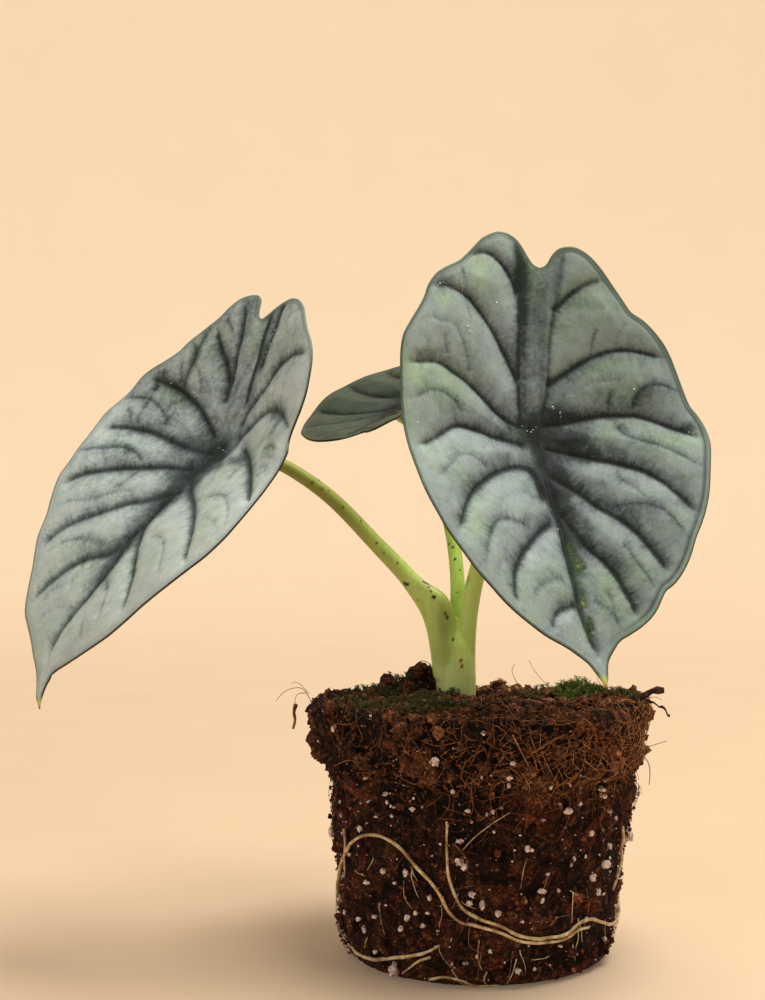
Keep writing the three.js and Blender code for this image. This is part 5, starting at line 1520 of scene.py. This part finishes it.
def makeBlade(name, leaf, upper, under):
    n = leaf["grid"]
    bpy.ops.mesh.primitive_grid_add(x_subdivisions=n, y_subdivisions=n, size=2 * mm)
    piece = bpy.context.view_layer.objects.active
    piece.name = "blade_" + name
    square = placesOf(piece)[:, :2]
    x, y = square.T
    share = np.maximum(np.abs(x), np.abs(y))
    wide = np.abs(x) >= np.abs(y)
    safe = np.where(share < 1e-9, 1, np.where(wide, x, y))
    turn = np.where(wide, np.pi / 4 * y / safe, np.pi / 2 - np.pi / 4 * x / safe)
    turn = turn + np.where(np.where(wide, x, y) < 0, np.pi, 0)
    round01 = np.mod(turn / (2 * np.pi), 1)
    half = 600
    rim = outlineOf(leaf, half)
    at = round01 * 2 * half
    straight = columns(rim[:, 0], rim[:, 1] - tipShift(leaf, rim[:, 0]))
    point = np.stack([np.interp(at, np.arange(len(rim)), straight[:, k]) for k in (0, 1)], -1) * share[:, None]
    point[:, 1] += tipShift(leaf, point[:, 0])
    u, v = point.T
    flat = columns(u, v, u * 0)
    margin = np.where(share > 0.9999, 0, nearLine(point, rim[::3]))

    near = np.full(len(point), 99.0)
    closest = np.full(len(point), 99.0)
    light = np.ones(len(point))  # what the dark bands leave of the silver
    streaks = np.zeros(len(point))
    dip = np.zeros(len(point))
    strokeAlong, strokeAway = np.zeros(len(point)), np.zeros(len(point))
    between = []
    veins = veinsOf(leaf, rim)
    for k, (kind, dark, feather, line) in enumerate(veins):
        away, along, length, side = footOn(point, line)
        t = along / length
        out = side * (1 if kind == "midrib" else np.sign(line[-1, 1])) * np.sign(feather)
        comb = clouds(columns(along / 1.0, away * 0.22 + 7 * np.sign(side), along * 0 + 9 * k), 1, 3)
        comb = 0.6 * comb + 0.4 * clouds(columns(along / 2.3, away * 0.15, along * 0 + 5 * k), 1, 4)
        if kind == "fine":
            fade = ease(t, 0, 0.12) * (1 - 0.6 * ease(t, 0.85, 1))
            reach = abs(feather) * (1 - 0.3 * t)
            dip = np.maximum(dip, dark * fade * np.exp(-((away / 1.1) ** 2)))
        else:
            fade = (1 - 0.3 * t**3) * (1 - 0.7 * ease(t, 0.94, 1))
            reach = abs(feather) * (1.2 - 0.75 * t ** (0.6 if kind == "midrib" else 1.1))
            near = np.minimum(near, away + (1.2 if kind == "rib" else 0))
        even = leaf["even"]  # 0 lays painted shade on one side of a vein, 1 darkens both alike
        most = 1.2 + ((0.34 if kind == "midrib" else 0.16) * (1 - even) + 0.85 * even) * abs(feather)
        reach = (np.where(out > 0, 0.35 + out, 0.35) * (1 - even) + 1.05 * even) * reach + 0.5
        reach = np.where(out > 0, reach, np.minimum(reach, most)) * (1 + 0.16 * comb)
        core = 0.42 if kind == "fine" else 0.6 + 0.25 * even
        band = 0.6 * np.exp(-((away / reach) ** 1.5)) + 0.4 * np.exp(-((away / core) ** 2))
        light *= 1 - dark * fade * band * (0.74 if kind == "fine" else 0.95)
        streaks = np.where(away < closest, comb, streaks)
        strokeAlong = np.where(away < closest, along + 40 * k, strokeAlong)
        strokeAway = np.where(away < closest, away * np.sign(side), strokeAway)
        closest = np.minimum(closest, away)
        if kind == "rib":
            between.append(side * away * (-1 if len(between) == 0 else 1))

    look = bladeLook
    inner = np.minimum(1, 4 * share) * np.minimum(1, 6 * (1.02 - share))
    w = bent(leaf, u, v)
    pillow, quilt = (look[key] * (1 - np.exp(-((near / far) ** 2))) for key, far in (("pillow", 1.6), ("quilt", 5)))
    w += (pillow + quilt) * inner * leaf["relief"]
    w -= look["fineDepth"] * dip * inner
    w -= look["groove"] * np.exp(-((near / look["grooveHalf"]) ** 2)) * np.minimum(1, margin / 2)
    w += look["comb"] * streaks * np.exp(-((closest / 4.5) ** 2)) * inner
    w += 0.16 * clouds(flat, 3.4, 61) * inner
    right = ease(v, 4, 14)
    below = ease(u, -12, 14)
    corners = np.array(leaf["rim"])[:, :, :, None]
    rows = corners[0] * (1 - below) + corners[1] * below
    rimWide, deepRim, valleyDepth = rows[0] * (1 - right) + rows[1] * right
    w += look["rimRoll"] * np.exp(-(((margin - 0.55 * rimWide) / (0.6 * rimWide)) ** 2))
    w -= (0.1 + 0.35 * valleyDepth) * np.exp(-(((margin - rimWide - 0.45) / 0.5) ** 2))
    w -= 0.2 * np.exp(-((margin / 0.3) ** 2))

    ahead, acrossAxis, up = leafAxes(leaf)
    place = np.array(leaf["attach"]) + point[:, :1] * ahead + point[:, 1:] * acrossAxis
    movePoints(piece, place + (w + look["lift"])[:, None] * up)

    def patch(key):
        value = np.zeros(len(point))
        for px, py, long, broad, strength in leaf.get(key, []):
            a, b = onBlade(leaf, [(px, py)])[0]
            value = np.maximum(value, strength * np.exp(-(((u - a) / long) ** 2) - ((v - b) / broad) ** 2))
        return value

    mottle = clouds(flat, 7, 21)
    small = clouds(flat, 2.4, 5)
    channel = ease(between[0], -0.2, 0.8) * ease(between[1], -0.2, 0.8) * ease(-u, 1, 9) * ease(margin, 0.6, 2)
    across = between[0] / np.maximum(between[0] + between[1], 0.1)
    lengthwise = clouds(columns((v + 0.12 * u) / 1.7, u / 30, u * 0), 1, 8)
    inChannel = 0.33 + 0.12 * lengthwise
    # painted shadow along the channel's wall by the first rib, where the floor drops under it
    inChannel += leaf["channelWallShade"] * (1 - ease(across, 0.02, 0.4)) * (0.4 + 0.6 * ease(-u, 12, 38))
    inChannel += 0.2 * ease(across, 0.9, 1)
    # dark patches: the leaf's own dark and painted shade
    dark = patch("pigmentAndShade") * (1 + 0.25 * small)
    light *= 1 - np.clip(dark, 0, 0.95)
    shade = 1 - light * (1 - 0.08 * np.clip(streaks, 0, 1))
    # paler: a painted light and shade gradient, one end of the blade lighter than the other
    shade = np.clip(shade + 0.07 * mottle + 0.08 * small - leaf["paler"] * (u + 0.8 * v - 22), 0, 1)
    shade = shade * (1 - channel) + channel * np.clip(inChannel, 0, 1)
    tipAway = np.linalg.norm(point - rim[0], axis=1)
    valley = valleyDepth * np.exp(-(((margin - rimWide - 0.4) / 0.45) ** 2)) * ease(tipAway, 3, 12)
    outline = np.roll(rim, -1, 0) - np.roll(rim, 1, 0)
    down = -(outline[:, 1] * ahead[2] - outline[:, 0] * acrossAxis[2]) / np.linalg.norm(outline, axis=1)
    down += np.where(rim[:, 1] > 0, *leaf.get("brownShift", (0, 0))[::-1])
    brown = np.interp(at, np.arange(len(rim)), ease(down, -0.05, 0.45))
    green = patch("green") + 0.3 * ease(mottle + 0.5 * small, 0.1, 0.9)
    # dim darkens one half of the blade: partly its own colour, partly painted shade
    written(
        piece, shade=shade, green=np.clip(green, 0, 1), dim=ease(-leaf["half"] * v, -1, 9) if leaf["half"] else 0 * v,
        margin=margin, rim=margin / rimWide, deepRim=deepRim, valley=np.clip(valley, 0, 1), brown=brown,
        fleck=np.clip(patch("fleck") * ease(clouds(flat, 0.9, 77), -0.6, 0.1), 0, 1), gold=np.clip(patch("gold"), 0, 1),
        tip=1 - ease(tipAway, 1.2, 4.4), point=1 - ease(tipAway, 0.2, 1.8), along=strokeAlong, away=strokeAway,
        brush=(0.06 + 0.94 * np.exp(-(((closest - 0.9) / 2.4) ** 2))) * (1 - channel) * ease(margin, 1, 3),
    )
    piece.data.materials.append(upper)
    piece.data.materials.append(under)
    worked(piece, "SOLIDIFY", thickness=look["thick"] * mm, offset=-1, use_rim=True, material_offset=1)
    finished(piece, None, "leaf", leaf["replaces"])
    return piece


# Small bright bits on the blades, as pixel and width in pixels: salt dots along the ribs, and three drops of water.
saltSeen = {
    "right": [
        (440, 283, 1.8), (438, 285, 1.2), (443, 282, 1), (461, 281, 1.2), (462, 286, 1), (462, 276, 0.9),
        (496.5, 302.5, 2.2), (470, 331, 2), (467.5, 326, 1.8), (472, 333, 1.4), (418, 422.5, 1.8), (522, 426, 1),
        (527, 431, 1.2), (531, 432, 1.6), (533, 430, 1.2), (536, 427, 1), (558, 529.5, 1.4), (629, 604.5, 1),
        (576, 568, 0.9), (484, 528, 1), (449, 453, 1.2), (634, 389, 1.8), (446, 283, 0.9), (450, 287, 0.8),
        (458, 279, 0.8), (689, 432, 1), (693, 433, 1.2), (580, 639, 1)],
    "left": [
        (235.5, 376, 1.2), (236, 371, 1), (243.5, 344, 1.3), (245, 337, 1), (246.5, 331, 0.9), (240, 352, 0.9),
        (275, 330, 1.2), (273, 334, 1), (270, 344, 1.8), (268.5, 347, 1.2), (266, 352, 1.1), (264, 357, 1),
        (261, 362, 0.9), (258, 392, 1.4), (256, 395, 1), (171, 383, 1.5), (210, 376.5, 1.3), (197, 395.5, 1.5),
        (194.5, 393, 1.2), (214.5, 421, 1.2), (194, 420, 1), (232, 399.5, 1.2), (223, 450, 1.4), (219, 448, 1),
        (105, 583, 1.3), (87, 517, 1.1), (178, 567, 1), (208, 411, 1), (262, 430, 1.1), (273, 430, 1.2),
        (226, 452, 0.9), (229, 449, 0.8), (253, 398, 0.9)],
}
dropsSeen = [(553, 408, 3.6), (560, 413, 2.6), (560.5, 417, 2)]
perPixel = {"dot": 0.115, "drop": 0.135}  # radius in millimetres for a pixel of width


def makeSalt(blades, salt, water):
    random = np.random.default_rng(121)
    places, sizes, matrices = [], [], []
    for name, listed in saltSeen.items():
        axes = np.array(leafAxes(leaves[name])).T
        for px, py, wide in listed:
            where = seenOn(blades[name], px, py)
            if where is not None:
                places.append(where)
                sizes.append(wide * perPixel["dot"] * random.uniform(0.8, 1.2, 3))
                matrices.append(axes)
    points, faces = pebble(2, 0.35, 3)
    dot = (points * (1.1, 1, 0.7), faces)
    piece = strewn("salt_dots", [dot], np.array(places), np.array(sizes), np.array(matrices))
    finished(piece, salt, "leaf")
    places = np.array([seenOn(blades["right"], px, py) for px, py, _ in dropsSeen])
    sizes = np.array([[wide * perPixel["drop"]] * 3 for _, _, wide in dropsSeen])
    axes = np.array(leafAxes(leaves["right"])).T
    points, faces = pebble(3, 0.05, 3)
    piece = strewn("drops", [(points * (1.2, 1, 0.55), faces)], places, sizes, np.array([axes] * len(places)))
    finished(piece, water, "leaf")


makeCamera()
makeLights()
makeFloor(floorFinish())
print("studio ready")
soil, coir, straw = soilFinish(), coirFinish(), strawFinish()
makePlug(soil)
makeCrumbs(soil)
makeFibres(coir, straw)
makeGrains(perliteFinish())
makeRoots(rootFinish())
makeTwig(barkFinish())
makeMoss(mossFinish())
print("root ball ready")
underside = underFinish()
blades = {}
for side in ("right", "left", "back"):
    blades[side] = makeBlade(side, leaves[side], bladeFinish(**bladeColours[side]), underside)
makeStalks(stalkFinish())
makeSalt(blades, saltFinish(), dropFinish())
print("plant ready")
